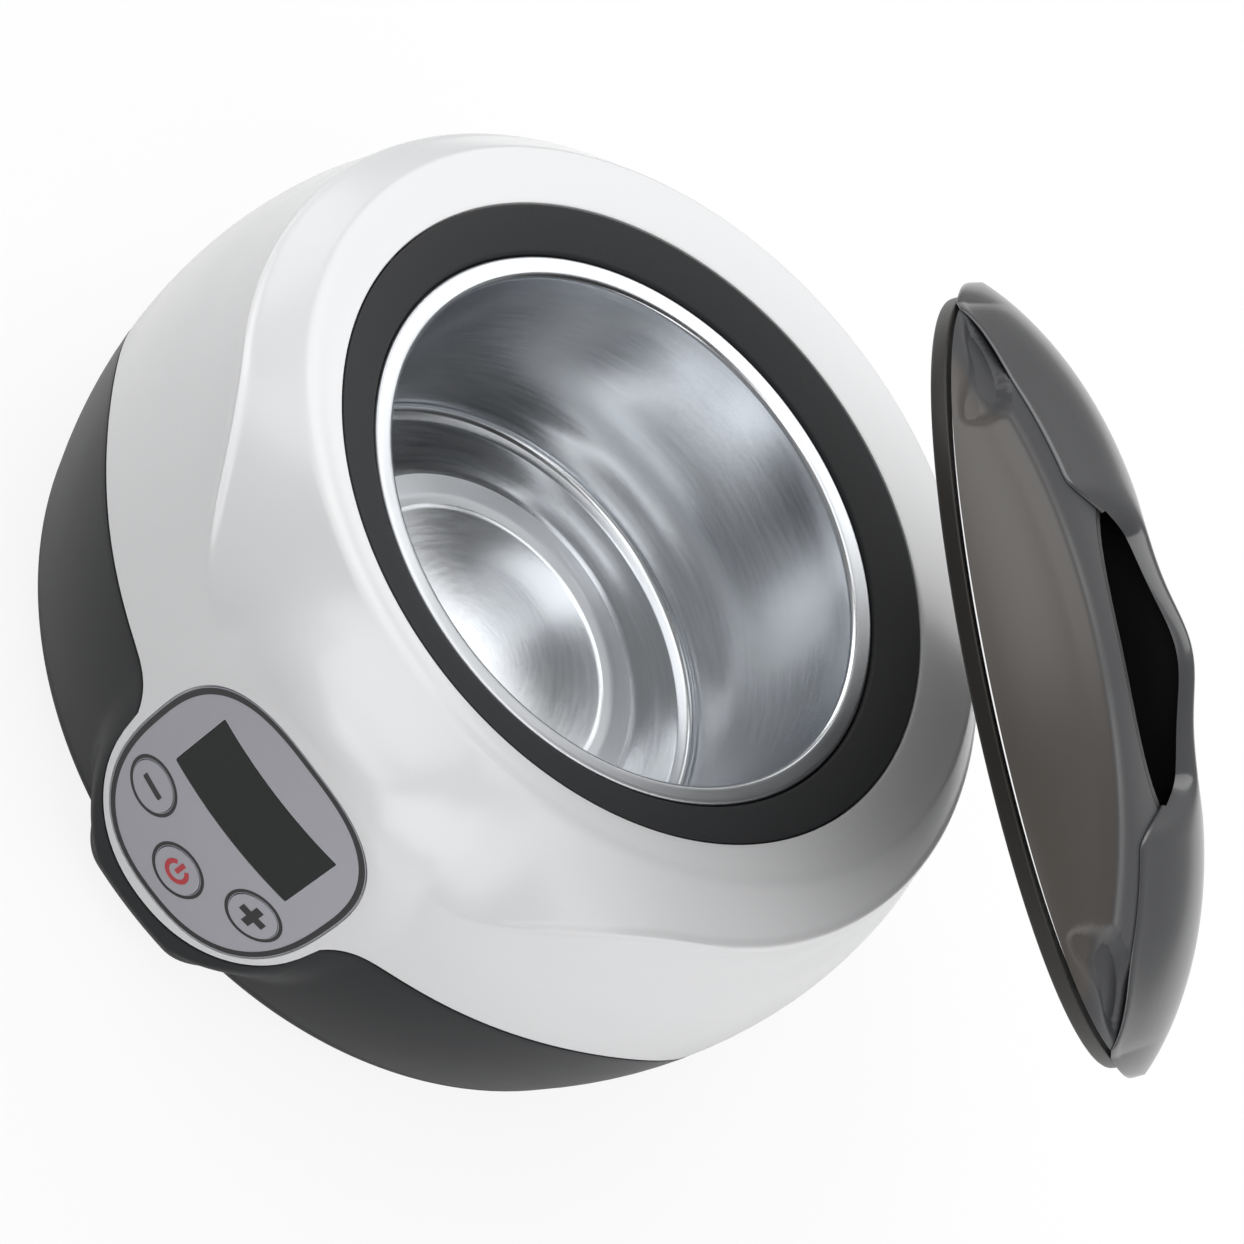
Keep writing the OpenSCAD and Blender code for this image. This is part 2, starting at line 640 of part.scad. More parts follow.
// Display window: curved lens, flush with the panel, with a flange behind the nose's wall
module display_window() {
    color("black") union() {
        intersection() {
            front_prism(front_rect(window_w, window_h, window_z), cut_near, cut_far);
            tube_wall(inner_face_r - 0.5, recess_r + panel_t, window_z - 20, window_z + 20);
        }
        intersection() {
            front_prism(front_rect(window_w + 2 * window_flange, window_h + 2 * window_flange, window_z),
                        cut_near, cut_far);
            tube_wall(inner_face_r - window_flange_t, inner_face_r - 0.05, window_z - 20, window_z + 20);
        }
    }
}

module display_module() {
    depth = window_back() - 0.4 - board_front;
    color("darkslategray") corners([-window_w / 2 + 1, -board_front - depth, window_z - window_h / 2 + 0.5],
                                   [window_w / 2 - 1, -board_front, window_z + window_h / 2 - 0.5]);
}
// Nearest depth of the window's back face over the display module
function window_back() = sqrt(pow(inner_face_r - window_flange_t, 2) - pow(window_w / 2 - 1, 2));

module control_board() {
    color("darkgreen") difference() {
        corners([-board_half_w, -board_front, board_low],
                [board_half_w, -board_front + board_t, board_high]);
        for (p = control_posts)
            front_rod(p[0], p[1], small_bore, board_front - board_t - 1, board_front + 1);
    }
}

module control_screws() {
    color("silver") for (p = control_posts) {
        front_rod(p[0], p[1], small_head_r, board_front - board_t - small_head_h, board_front - board_t);
        front_rod(p[0], p[1], thread_r, board_front - board_t - 0.01, board_front + 4);
    }
}

// Tact switches on the board, one behind each key
switch_w = 6;
switch_h = 3.2;
switch_tip_r = 1.7;
switch_tip_h = 0.6;
module tact_switches() {
    color("black") for (k = keys) {
        corners([k[0] - switch_w / 2, -board_front - switch_h, k[1] - switch_w / 2],
                [k[0] + switch_w / 2, -board_front, k[1] + switch_w / 2]);
        front_rod(k[0], k[1], switch_tip_r, board_front + switch_h - 0.01,
                  board_front + switch_h + switch_tip_h);
    }
}

// Keys: round caps through the panel, with a flange behind the wall and a stem to the switch
key_flange_r = key_r + 1.1;
key_flange_t = 1.2;
key_stem_r = 1.8;
key_proud = 0.25;
function key_flange_y(x) = sqrt(pow(inner_face_r, 2) - pow(abs(x) + key_flange_r, 2)) - 0.3;
module key(k) {
    flange = key_flange_y(k[0]);
    union() {
        intersection() {
            front_rod(k[0], k[1], key_r, flange - key_flange_t, nose_r + 5);
            translate([0, 0, k[1] - 20]) cylinder(r = recess_r + panel_t + key_proud, h = 40);
        }
        front_rod(k[0], k[1], key_flange_r, flange - key_flange_t, flange);
        front_rod(k[0], k[1], key_stem_r,
                  board_front + switch_h + switch_tip_h + key_travel + 0.15, flange - 0.5);
    }
}
module button_minus() { color("thistle") key(keys[0]); }
module button_power() { color("thistle") key(keys[1]); }
module button_plus() { color("thistle") key(keys[2]); }

// Power board and what stands on it
board_top = power_board_z + board_t;
module power_board() {
    color("darkgreen") difference() {
        corners([board_low_x, -board_half_y, power_board_z], [board_high_x, board_half_y, board_top]);
        for (p = power_posts) translate([p[0], p[1], power_board_z - 1])
            cylinder(r = small_bore, h = board_t + 2);
    }
}
module board_screws() {
    color("silver") for (p = power_posts) translate([p[0], p[1], 0]) {
        translate([0, 0, board_top]) cylinder(r = small_head_r, h = small_head_h);
        translate([0, 0, power_board_z - 3]) cylinder(r = thread_r, h = board_t + 3.01);
    }
}
module relay() {
    color("royalblue") corners([board_high_x - 11, -20, board_top], [board_high_x - 1, -5, board_top + 15]);
}
module safety_capacitor() {
    color("gold") corners([board_high_x - 9, 1, board_top], [board_high_x - 2, 19, board_top + 13]);
}
module supply_module() {
    color("black") corners([board_low_x + 9, -12, board_top], [board_low_x + 16, 12, board_top + 9]);
}
module terminal_block() {
    color("seagreen") difference() {
        corners([board_low_x + 1, -8, board_top], [board_low_x + 8, 12, board_top + 9]);
        for (y = [-5, 0, 5, 9]) translate([board_low_x + 4.5, y, board_top + 5]) cylinder(r = 1.3, h = 10);
    }
}

// Mains inlet: flange outside, body inside, with a figure-eight socket and two pins
socket_r = 3.6;
socket_half_l = 4;
socket_depth = 11;
inlet_depth = 17;
pin_r = 1.2;
pin_x = 4.3;
module mains_inlet() {
    face = inlet_seat_y + inlet_flange_t;
    color("black") difference() {
        union() {
            corners([-inlet_w / 2, inlet_seat_y, inlet_z - inlet_h / 2],
                    [inlet_w / 2, face, inlet_z + inlet_h / 2]);
            corners([-inlet_body_w / 2, inlet_seat_y - inlet_depth, inlet_z - inlet_body_h / 2],
                    [inlet_body_w / 2, face - 0.1, inlet_z + inlet_body_h / 2]);
        }
        for (x = [-socket_half_l, socket_half_l])
            translate([x, face + 1, inlet_z]) rotate([90, 0, 0])
                cylinder(r = socket_r, h = socket_depth + 1);
        corners([-socket_half_l, face - socket_depth, inlet_z - socket_r + 0.3],
                [socket_half_l, face + 1, inlet_z + socket_r - 0.3]);
        for (x = [-pin_x, pin_x])
            translate([x, face, inlet_z]) rotate([90, 0, 0]) cylinder(r = pin_r, h = 40);
    }
}
module inlet_pins() {
    face = inlet_seat_y + inlet_flange_t;
    color("silver") for (x = [-pin_x, pin_x])
        translate([x, face - 2.5, inlet_z]) rotate([90, 0, 0]) cylinder(r = pin_r, h = inlet_depth + 3);
}

// The lid is drawn level with its rim plane at z = 0, the handle along X, then turned, set on the
// land and swung about a slanted axis to where it is held, clear of the pot.
lid_seat_gap = 0.25;
lid_axis = [-0.444, 0.700, 0.559];
lid_axis_point = [95.6, 47.9, 15.7];
module held_lid() {
    translate(lid_axis_point) rotate(a = lid_swing, v = lid_axis) translate(-lid_axis_point)
        translate([0, 0, top_z + lid_seat_gap]) rotate([0, 0, lid_turn]) children();
}

// Outer height of the dome at radius r
dome_power = 2.4;
function dome_z(r) = r >= lid_r ? lid_rim_h
    : lid_rim_h + lid_dome_h * pow(1 - pow(r / lid_r, dome_power), 0.8);
dome_steps = 20;
dome_edge = lid_r - 0.6;
function dome_radii(r_max) = [for (i = [0:dome_steps]) r_max * sin(90 * i / dome_steps)];
// Outline of the dome with its top lowered by an amount, from the middle to the edge
function dome_line(drop, r_max) = [for (r = dome_radii(r_max)) [r, dome_z(r) - drop]];
recess_power = 2.6;
function recess_outline(grow) = [for (i = [0:47]) let(u = i * 7.5)
    [(recess_half_l + grow) * sign_power(cos(u), recess_power),
     (recess_half_w + grow) * sign_power(sin(u), recess_power)]];
lid_boss_x = lid_r - 26;
lid_boss_y = 5;
lid_boss_r = 3.2;
lid_boss_low = 9;
lid_bosses = [for (x = [-lid_boss_x, lid_boss_x], y = [-lid_boss_y, lid_boss_y]) [x, y]];

module lid_dome() {
    color("dimgray") held_lid() difference() {
        union() {
            rotate_extrude() polygon(concat(
                dome_line(0, dome_edge), [[dome_edge, lid_rim_h + 0.05], [lid_r - 4, lid_rim_h + 0.05]],
                [for (i = [dome_steps:-1:0]) let(r = (lid_r - 4) * sin(90 * i / dome_steps))
                    [r, max(dome_z(r) - lid_t, lid_rim_h + 0.06)]]));
            for (b = lid_bosses) translate([b[0], b[1], lid_boss_low])
                cylinder(r = lid_boss_r, h = dome_z(norm(b) + lid_boss_r) - lid_boss_low);
        }
        translate([0, 0, -1]) linear_extrude(2 * handle_top) polygon(recess_outline(0.15));
        for (b = lid_bosses) translate([b[0], b[1], 0]) cylinder(r = small_bore, h = handle_top);
    }
}

module lid_rim() {
    color("saddlebrown") held_lid() rotate_extrude() polygon([
        [lid_r - 3.4, 0], [lid_r - 0.4, 0], [lid_r, 0.5], [lid_r, lid_rim_h - 0.4],
        [lid_r - 0.4, lid_rim_h], [lid_r - 4, lid_rim_h]]);
}

// Pan of the finger recess: oval cup whose edge follows the dome, with an upright web along the
// middle that closes the room under the grip, so that fingers go in from both sides of it
pan_t = 1.6;
web_t = 3;
web_gap = 0.15;
module recess_block(z, grow) {
    translate([0, 0, z]) linear_extrude(handle_top) polygon(recess_outline(grow));
}
module lid_pan() {
    color("black") held_lid() union() {
        intersection() {
            rotate_extrude() polygon(concat([[0, 0]], dome_line(0, dome_edge), [[dome_edge, 0]]));
            difference() {
                recess_block(recess_floor - pan_t, 0);
                recess_block(recess_floor, -pan_t);
            }
        }
        intersection() {
            recess_block(recess_floor - 0.5, -pan_t - web_gap);
            translate([0, web_t / 2, -web_gap]) rotate([90, 0, 0])
                linear_extrude(web_t) polygon(bridge_room);
        }
    }
}

// Handle: a broad crowned band from tip to tip that lies on the dome. The finger recess is cut
// through it, and a narrow grip crosses the recess on the pan's web.
handle_fall = 22.6;
handle_power = 2.9;
nub_h = 3.3;
nub_l = 12;
handle_steps = 26;
handle_across = 5;
handle_clear = 0.25;
handle_edge = 0.6;
band_half_w = 33;
band_taper = 6.3;
bridge_half_w = 8;
bridge_t = 2.6;
function crown_z(x) = handle_top - nub_h - handle_fall
    + handle_fall * pow(1 - pow(min(abs(x) / (handle_half_l + 0.3), 1), handle_power), 0.9)
    + nub_h * exp(-pow(x / nub_l, 2));
// Half width of the band: narrow over the recess, broad beside it, with rounded ends
band_flare_x = recess_half_l - 10;
band_flare_l = 12;
band_taper_x = lid_r - 24;
band_taper_l = 20;
function band_w(x) = max(3, min(
    bridge_half_w + (band_half_w - bridge_half_w) * blend((abs(x) - band_flare_x) / band_flare_l)
        - band_taper * blend((abs(x) - band_taper_x) / band_taper_l),
    sqrt(max(pow(handle_half_l, 2) - x * x, 0) * 0.6)));
function band_under(x, y) = dome_z(norm([x, y])) + handle_clear;
function band_top(x, v) = let(edge = band_under(x, band_w(x)) + handle_edge)
    max(mix(edge, max(crown_z(x), edge), pow(1 - pow(abs(v), 1.8), 1.2)),
        band_under(x, v * band_w(x)) + handle_edge);
handle_x = [for (i = [-handle_steps:handle_steps])
    handle_half_l * mix(i / handle_steps, sin(90 * i / handle_steps), 0.6)];

bridge_x = [for (i = [-6:6]) i / 6 * (recess_half_l + 2)];
// Side view of the room under the bridge
bridge_room = concat([[-recess_half_l - 2, 0]],
    [for (x = bridge_x) [x, crown_z(x) - bridge_t - 3.5 * pow(abs(x) / recess_half_l, 4)]],
    [[recess_half_l + 2, 0]]);

module lid_handle() {
    n = len(handle_x);
    m = 2 * handle_across + 1;
    v = [for (j = [-handle_across:handle_across]) sin(90 * j / handle_across)];
    top = [for (x = handle_x) for (t = v) [x, t * band_w(x), band_top(x, t)]];
    under = [for (x = handle_x) for (t = v) [x, t * band_w(x), band_under(x, t * band_w(x))]];
    k = n * m;
    faces = concat(
        [for (i = [0:n - 2]) for (j = [0:m - 2]) let(p = i * m + j)
            each [[p, p + 1, p + m + 1], [p, p + m + 1, p + m],
                  [k + p, k + p + m + 1, k + p + 1], [k + p, k + p + m, k + p + m + 1]]],
        [for (i = [0:n - 2]) let(p = i * m, q = p + m - 1)
            each [[p, p + m, k + p + m], [p, k + p + m, k + p],
                  [q, k + q + m, q + m], [q, k + q, k + q + m]]],
        [for (j = [0:m - 2]) let(q = (n - 1) * m + j)
            each [[j, k + j, k + j + 1], [j, k + j + 1, j + 1],
                  [q, k + q + 1, k + q], [q, q + 1, k + q + 1]]]);
    color("black") held_lid() difference() {
        polyhedron(concat(top, under), faces);
        intersection() {
            linear_extrude(2 * handle_top) polygon(recess_outline(-pan_t));
            translate([0, lid_r, 0]) rotate([90, 0, 0]) linear_extrude(2 * lid_r) polygon(bridge_room);
        }
        for (b = lid_bosses) translate([b[0], b[1], 0]) cylinder(r = small_pilot, h = crown_z(b[0]) - 2.5);
    }
}

module lid_screws() {
    color("silver") held_lid() for (b = lid_bosses) translate([b[0], b[1], 0])
        screw(lid_boss_low, small_thread, crown_z(b[0]) - 3 - lid_boss_low, small_head_r, small_head_h);
}

upper_shell();
base_shell();
bottom_plate();
seat_ring();
inner_pot();
heater_well();
insulation_blanket();
heater_plate();
clamp_plate();
clamp_nut();
temperature_sensor();
sensor_clip();
thermal_fuse();
fuse_clip();
panel_overlay();
display_window();
display_module();
control_board();
tact_switches();
button_minus();
button_power();
button_plus();
power_board();
relay();
safety_capacitor();
supply_module();
terminal_block();
mains_inlet();
inlet_pins();
rubber_feet();
case_screws();
plate_screws();
board_screws();
control_screws();
ring_screws();
well_screws();
lid_dome();
lid_rim();
lid_pan();
lid_handle();
lid_screws();
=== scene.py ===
import math

import bmesh
import bpy
import numpy as np
from mathutils import Matrix, Vector


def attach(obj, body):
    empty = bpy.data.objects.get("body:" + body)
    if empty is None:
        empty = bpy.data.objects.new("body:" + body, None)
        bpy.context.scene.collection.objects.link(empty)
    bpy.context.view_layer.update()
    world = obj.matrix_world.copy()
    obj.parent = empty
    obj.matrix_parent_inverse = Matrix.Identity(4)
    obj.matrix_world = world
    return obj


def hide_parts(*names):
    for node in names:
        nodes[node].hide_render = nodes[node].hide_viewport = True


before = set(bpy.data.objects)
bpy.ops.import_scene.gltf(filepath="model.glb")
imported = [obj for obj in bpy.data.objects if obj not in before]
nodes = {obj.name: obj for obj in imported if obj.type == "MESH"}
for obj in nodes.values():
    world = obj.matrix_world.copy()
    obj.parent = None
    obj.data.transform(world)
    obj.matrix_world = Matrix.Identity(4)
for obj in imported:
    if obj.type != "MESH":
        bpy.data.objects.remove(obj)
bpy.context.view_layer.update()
scene = bpy.context.scene
mm = 0.001

# light, floor and camera

studio = {
    "cameraPlace": (0.0, -0.50518, 0.54352),
    "cameraRight": (0.60585, 0.53585, 0.58806),
    "cameraUp": (-0.79529, 0.42771, 0.42962),
    "cameraBack": (-0.02131, -0.72797, 0.68528),
    "lens": 97.08, "sensorW": 36, "nearest": 0.02,
    "worldStrength": 0.25,
    "floorHalf": 3.0, "floorColour": (0.93, 0.93, 0.93, 1), "floorRough": 0.9, "floorWhite": 0.88,
    "lamps": {  # place, aim, size and power
        "topLamp": ((-0.15, 0.1, 1.2), (0, 0, 0.06), (1.2, 1.0), 4.8),
        "backLamp": ((0.0, 1.0, 0.95), (0, 0, 0.08), (1.4, 0.8), 6.4),
        "sideLamp": ((1.15, -0.45, 0.7), (0, 0, 0.07), (1.3, 1.0), 7.4),
        "leftLamp": ((-1.0, 0.4, 0.6), (0, 0, 0.07), (0.8, 0.7), 3.6),
        "frontLamp": ((0.15, -0.6, 1.15), (0.02, 0, 0.08), (0.8, 0.6), 2.4),
    },
}


def addThing(name, data):
    thing = bpy.data.objects.new(name, data)
    scene.collection.objects.link(thing)
    return thing


def setInputs(tree, node, inputs):
    # name or number of an input -> its value, or the output it is linked to
    for label, value in dict(inputs).items():
        if isinstance(value, bpy.types.NodeSocket):
            tree.links.new(value, node.inputs[label])
        else:
            node.inputs[label].default_value = value


def addNode(tree, kind, inputs=(), **settings):
    node = tree.nodes.new(kind)
    for label, value in settings.items():
        setattr(node, label, value)
    setInputs(tree, node, inputs)
    return node


def maths(tree, operation, *terms):
    return addNode(tree, "ShaderNodeMath", enumerate(terms), operation=operation).outputs[0]


def nodeTree(name):
    material = bpy.data.materials.new(name)
    material.use_nodes = True
    tree = material.node_tree
    return material, tree, tree.nodes["Principled BSDF"]


def placeCamera():
    data = bpy.data.cameras.new("studioCamera")
    data.sensor_width = studio["sensorW"]
    data.lens = studio["lens"]
    data.clip_start = studio["nearest"]
    camera = addThing("studioCamera", data)
    axes = Matrix((studio["cameraRight"], studio["cameraUp"], studio["cameraBack"])).transposed()
    camera.matrix_world = Matrix.Translation(studio["cameraPlace"]) @ axes.to_4x4()
    scene.camera = camera


def softLamp(name, place, aim, size, power):
    data = bpy.data.lights.new(name, "AREA")
    data.shape = "RECTANGLE"
    data.size, data.size_y = size
    data.energy = power
    lamp = addThing(name, data)
    lamp.location = place
    lamp.rotation_euler = (Vector(aim) - Vector(place)).to_track_quat("-Z", "Y").to_euler()


def whiteForCamera(tree, shader, strength):
    # camera and glass rays see this share of plain white; all others see the shader
    path = addNode(tree, "ShaderNodeLightPath").outputs
    glow = addNode(tree, "ShaderNodeEmission", {"Color": (1, 1, 1, 1)})
    either = maths(tree, "MAXIMUM", path["Is Camera Ray"], path["Is Transmission Ray"])
    share = maths(tree, "MULTIPLY", either, strength)
    return addNode(tree, "ShaderNodeMixShader", {0: share, 1: shader.outputs[0], 2: glow.outputs[0]})


def makeStudio():
    placeCamera()
    world = bpy.data.worlds.new("studioWorld")
    scene.world = world
    world.use_nodes = True
    tree = world.node_tree
    sky = tree.nodes["Background"]
    setInputs(tree, sky, {"Color": (1, 1, 1, 1), "Strength": studio["worldStrength"]})
    path = addNode(tree, "ShaderNodeLightPath").outputs
    white = addNode(tree, "ShaderNodeBackground", {"Color": (1, 1, 1, 1)})
    inputs = {0: path["Is Camera Ray"], 1: sky.outputs[0], 2: white.outputs[0]}
    blend = addNode(tree, "ShaderNodeMixShader", inputs)
    setInputs(tree, tree.nodes["World Output"], {"Surface": blend.outputs[0]})

    for name, settings in studio["lamps"].items():
        softLamp(name, *settings)

    mesh = bpy.data.meshes.new("studioFloor")
    half = studio["floorHalf"]
    corners = [(-half, -half, 0), (half, -half, 0), (half, half, 0), (-half, half, 0)]
    mesh.from_pydata(corners, [], [(0, 1, 2, 3)])
    floor = addThing("studioFloor", mesh)
    material, tree, shader = nodeTree("studioPaper")
    setInputs(tree, shader, {"Base Color": studio["floorColour"], "Roughness": studio["floorRough"]})
    blend = whiteForCamera(tree, shader, studio["floorWhite"])
    setInputs(tree, tree.nodes["Material Output"], {"Surface": blend.outputs[0]})
    mesh.materials.append(material)
    scene.view_settings.view_transform = "Standard"
    print("studio ready")


makeStudio()

# finishes

bumpReach, glossSpread, leastRough = 0.0001, 0.04, 0.02
turnedMarks = {
    "twist": 0.004, "blotchScale": 38, "shinier": 0.75, "duller": 1.35, "darker": 0.93, "streak": 0.6,
}


def noise(tree, place, scale, detail):
    inputs = {"Vector": place, "Scale": scale, "Detail": detail}
    return addNode(tree, "ShaderNodeTexNoise", inputs).outputs["Fac"]


def mixColour(tree, share, first, second):
    return addNode(tree, "ShaderNodeMix", {0: share, 6: first, 7: second}, data_type="RGBA").outputs[2]


def bump(tree, height, strength):
    inputs = {"Strength": strength, "Distance": bumpReach, "Height": height}
    return addNode(tree, "ShaderNodeBump", inputs).outputs[0]


def grainMaterial(name, colour, rough, grain, grainScale, tint, tintScale, metal=0.0,
                  coat=0.0, coatRough=0.05, level=0.5):
    # one colour with slow variation, uneven gloss and a fine moulded grain
    material, tree, shader = nodeTree(name)
    place = addNode(tree, "ShaderNodeTexCoord").outputs["Object"]
    cloud = noise(tree, place, tintScale, 3)
    dark, light = [(*[min(1, c * (1 + change)) for c in colour], 1) for change in (-tint, tint)]
    gloss = addNode(tree, "ShaderNodeMapRange", {
        "Value": cloud, "To Min": max(leastRough, rough - glossSpread), "To Max": rough + glossSpread,
    })
    setInputs(tree, shader, {
        "Base Color": mixColour(tree, cloud, dark, light), "Roughness": gloss.outputs[0], "Metallic": metal,
        "Coat Weight": coat, "Coat Roughness": coatRough, "Specular IOR Level": level,
    })
    if grain > 0:
        setInputs(tree, shader, {"Normal": bump(tree, noise(tree, place, grainScale, 2), grain)})
    return material


def spunMetal(name, colour, rough, lineScale, depth, mattes=()):
    # turning marks: noise that changes with radius and height; mattes are (radius, half width, extra roughness)
    material, tree, shader = nodeTree(name)
    place = addNode(tree, "ShaderNodeTexCoord").outputs["Object"]
    x, y, z = addNode(tree, "ShaderNodeSeparateXYZ", {0: place}).outputs
    flat = addNode(tree, "ShaderNodeCombineXYZ", {0: x, 1: y}).outputs[0]
    radius = addNode(tree, "ShaderNodeVectorMath", {0: flat}, operation="LENGTH").outputs["Value"]
    twist = maths(tree, "MULTIPLY", maths(tree, "ARCTAN2", y, x), turnedMarks["twist"])
    lines = addNode(tree, "ShaderNodeCombineXYZ", {0: radius, 1: twist, 2: z}).outputs[0]
    marks = noise(tree, lines, lineScale, 4)
    both = maths(tree, "MULTIPLY", marks, noise(tree, place, turnedMarks["blotchScale"], 3))
    total = addNode(tree, "ShaderNodeMapRange", {
        "Value": both, "From Max": 0.5,
        "To Min": rough * turnedMarks["shinier"], "To Max": rough * turnedMarks["duller"],
    }).outputs[0]
    for middle, reach, extra in mattes:
        total = maths(tree, "MULTIPLY_ADD", maths(tree, "COMPARE", radius, middle, reach), extra, total)
    dark = (*[c * turnedMarks["darker"] for c in colour], 1)
    around = addNode(tree, "ShaderNodeVectorMath", {0: (0, 0, 1), 1: place}, operation="CROSS_PRODUCT")
    setInputs(tree, shader, {
        "Base Color": mixColour(tree, marks, dark, (*colour, 1)), "Roughness": total, "Metallic": 1,
        "Tangent": around.outputs[0], "Anisotropic": turnedMarks["streak"], "Normal": bump(tree, marks, depth),
    })
    return material


finish = {
    "white": grainMaterial("pearlWhite", (0.77, 0.775, 0.785), 0.32, 0.05, 700, 0.012, 25, coat=0.8,
                           coatRough=0.22),
    "black": grainMaterial("blackBase", (0.013, 0.014, 0.016), 0.34, 0.05, 800, 0.06, 30, level=0.28),
    "ring": grainMaterial("matteRing", (0.030, 0.031, 0.033), 0.62, 0.35, 1800, 0.05, 60, level=0.3),
    "pot": spunMetal("spunAluminium", (0.80, 0.82, 0.845), 0.2, 900, 0.1,
                     [(0.0375, 0.0034, 0.3), (0.0605, 0.002, 0.25)]),
    "well": spunMetal("drawnAluminium", (0.62, 0.62, 0.61), 0.35, 500, 0.1),
    "print": grainMaterial("printedFilm", (0.40, 0.40, 0.44), 0.42, 0.08, 1500, 0.02, 90),
    # this black also paints the gap shadow band round the panel's edge
    "ink": grainMaterial("blackInkAndShadow", (0.012, 0.012, 0.014), 0.4, 0.05, 1500, 0.03, 90),
    "redInk": grainMaterial("redInk", (0.50, 0.03, 0.04), 0.42, 0.05, 1500, 0.04, 90),
    "window": grainMaterial("tintedWindow", (0.016, 0.019, 0.017), 0.2, 0.0, 900, 0.03, 50, level=0.2),
    "smoke": grainMaterial("smokeLid", (0.062, 0.055, 0.049), 0.36, 0.04, 500, 0.1, 22, level=0.4),
    "rim": grainMaterial("darkRim", (0.020, 0.018, 0.016), 0.4, 0.04, 500, 0.1, 22, level=0.3),
    "band": grainMaterial("blackBand", (0.052, 0.053, 0.056), 0.26, 0.03, 500, 0.05, 22, coat=0.4,
                          coatRough=0.1),
    "recess": grainMaterial("recessBlack", (0.004, 0.004, 0.004), 0.3, 0.05, 500, 0.1, 40, level=0.25),
    "steel": grainMaterial("zincPlate", (0.56, 0.57, 0.58), 0.32, 0.1, 1200, 0.05, 300, metal=1),
    "brass": grainMaterial("plainBrass", (0.70, 0.52, 0.25), 0.3, 0.1, 1200, 0.05, 300, metal=1),
    "rubber": grainMaterial("footRubber", (0.025, 0.025, 0.025), 0.8, 0.5, 1500, 0.08, 120, level=0.3),
    "board": grainMaterial("boardGreen", (0.02, 0.13, 0.06), 0.35, 0.1, 600, 0.12, 180),
    "plainBlack": grainMaterial("partBlack", (0.02, 0.02, 0.021), 0.5, 0.3, 1200, 0.06, 80),
    "blue": grainMaterial("relayBlue", (0.03, 0.10, 0.40), 0.3, 0.1, 900, 0.04, 80),
    "yellow": grainMaterial("capacitorYellow", (0.66, 0.50, 0.05), 0.45, 0.1, 900, 0.05, 80),
    "green": grainMaterial("terminalGreen", (0.03, 0.28, 0.11), 0.5, 0.1, 900, 0.05, 80),
    "fibre": grainMaterial("fibreBlanket", (0.78, 0.76, 0.68), 0.95, 1.0, 380, 0.1, 60),
    "mica": grainMaterial("micaSheet", (0.50, 0.41, 0.25), 0.45, 0.3, 300, 0.2, 70),
    "glaze": grainMaterial("glazedCeramic", (0.82, 0.79, 0.72), 0.25, 0.05, 500, 0.04, 80),
}
print("finishes ready")

cadFinish = {
    "bottom_plate": "black", "heater_well": "well", "insulation_blanket": "fibre", "heater_plate": "mica",
    "clamp_plate": "steel", "clamp_nut": "steel", "temperature_sensor": "brass", "sensor_clip": "steel",
    "thermal_fuse": "glaze", "fuse_clip": "steel", "display_module": "plainBlack", "control_board": "board",
    "tact_switches": "plainBlack", "button_minus": "print", "button_power": "print", "button_plus": "print",
    "power_board": "board", "relay": "blue", "safety_capacitor": "yellow", "supply_module": "plainBlack",
    "terminal_block": "green", "mains_inlet": "plainBlack", "inlet_pins": "brass", "rubber_feet": "rubber",
    "board_screws": "steel", "control_screws": "steel", "ring_screws": "steel", "well_screws": "steel",
    "lid_pan": "recess", "lid_screws": "steel",
    "upper_shell": "white", "base_shell": "black", "seat_ring": "ring", "inner_pot": "pot",
    "panel_overlay": "print", "display_window": "window", "case_screws": "steel", "plate_screws": "steel",
    "lid_dome": "smoke", "lid_rim": "smoke", "lid_handle": "band",
}
for nodeName, finishName in cadFinish.items():
    for socket in nodes[nodeName].material_slots:
        socket.material = finish[finishName]

# mesh helpers

weld = 0.000002  # points closer than this become one


def dressPiece(piece, material, body, smoothAngle=40):
    mesh = piece.data
    mesh.materials.clear()
    mesh.materials.append(material)
    for face in mesh.polygons:
        face.material_index = 0
        face.use_smooth = True
    mesh.set_sharp_from_angle(angle=math.radians(smoothAngle))
    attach(piece, body)


def cleanMesh(mesh):
    work = bmesh.new()
    work.from_mesh(mesh)
    bmesh.ops.remove_doubles(work, verts=work.verts, dist=weld)
    bmesh.ops.recalc_face_normals(work, faces=work.faces)
    work.to_mesh(mesh)
    work.free()


def rawMesh(name, points, faces):
    mesh = bpy.data.meshes.new(name)
    mesh.from_pydata([tuple(c * mm for c in p) for p in points], [], faces)
    cleanMesh(mesh)
    return addThing(name, mesh)


def cutPiece(body, tools, operation="DIFFERENCE"):
    # applies each tool with an exact boolean, then throws the tools away
    for tool in tools:
        step = body.modifiers.new("cut", "BOOLEAN")
        step.operation = operation
        step.solver = "EXACT"
        step.object = tool
    shaped = body.evaluated_get(bpy.context.evaluated_depsgraph_get())
    result = bpy.data.meshes.new_from_object(shaped)
    body.modifiers.clear()
    body.data = result
    for tool in tools:
        bpy.data.objects.remove(tool)


def newTree(name, sockets):
    # an empty geometry tree with named inputs, its input and output nodes
    tree = bpy.data.node_groups.new(name, "GeometryNodeTree")
    face = tree.interface
    face.new_socket("Geometry", in_out="INPUT", socket_type="NodeSocketGeometry")
    for label, kind in sockets:
        face.new_socket(label, in_out="INPUT", socket_type="NodeSocket" + kind)
    face.new_socket("Geometry", in_out="OUTPUT", socket_type="NodeSocketGeometry")
    return tree, tree.nodes.new("NodeGroupInput"), tree.nodes.new("NodeGroupOutput")


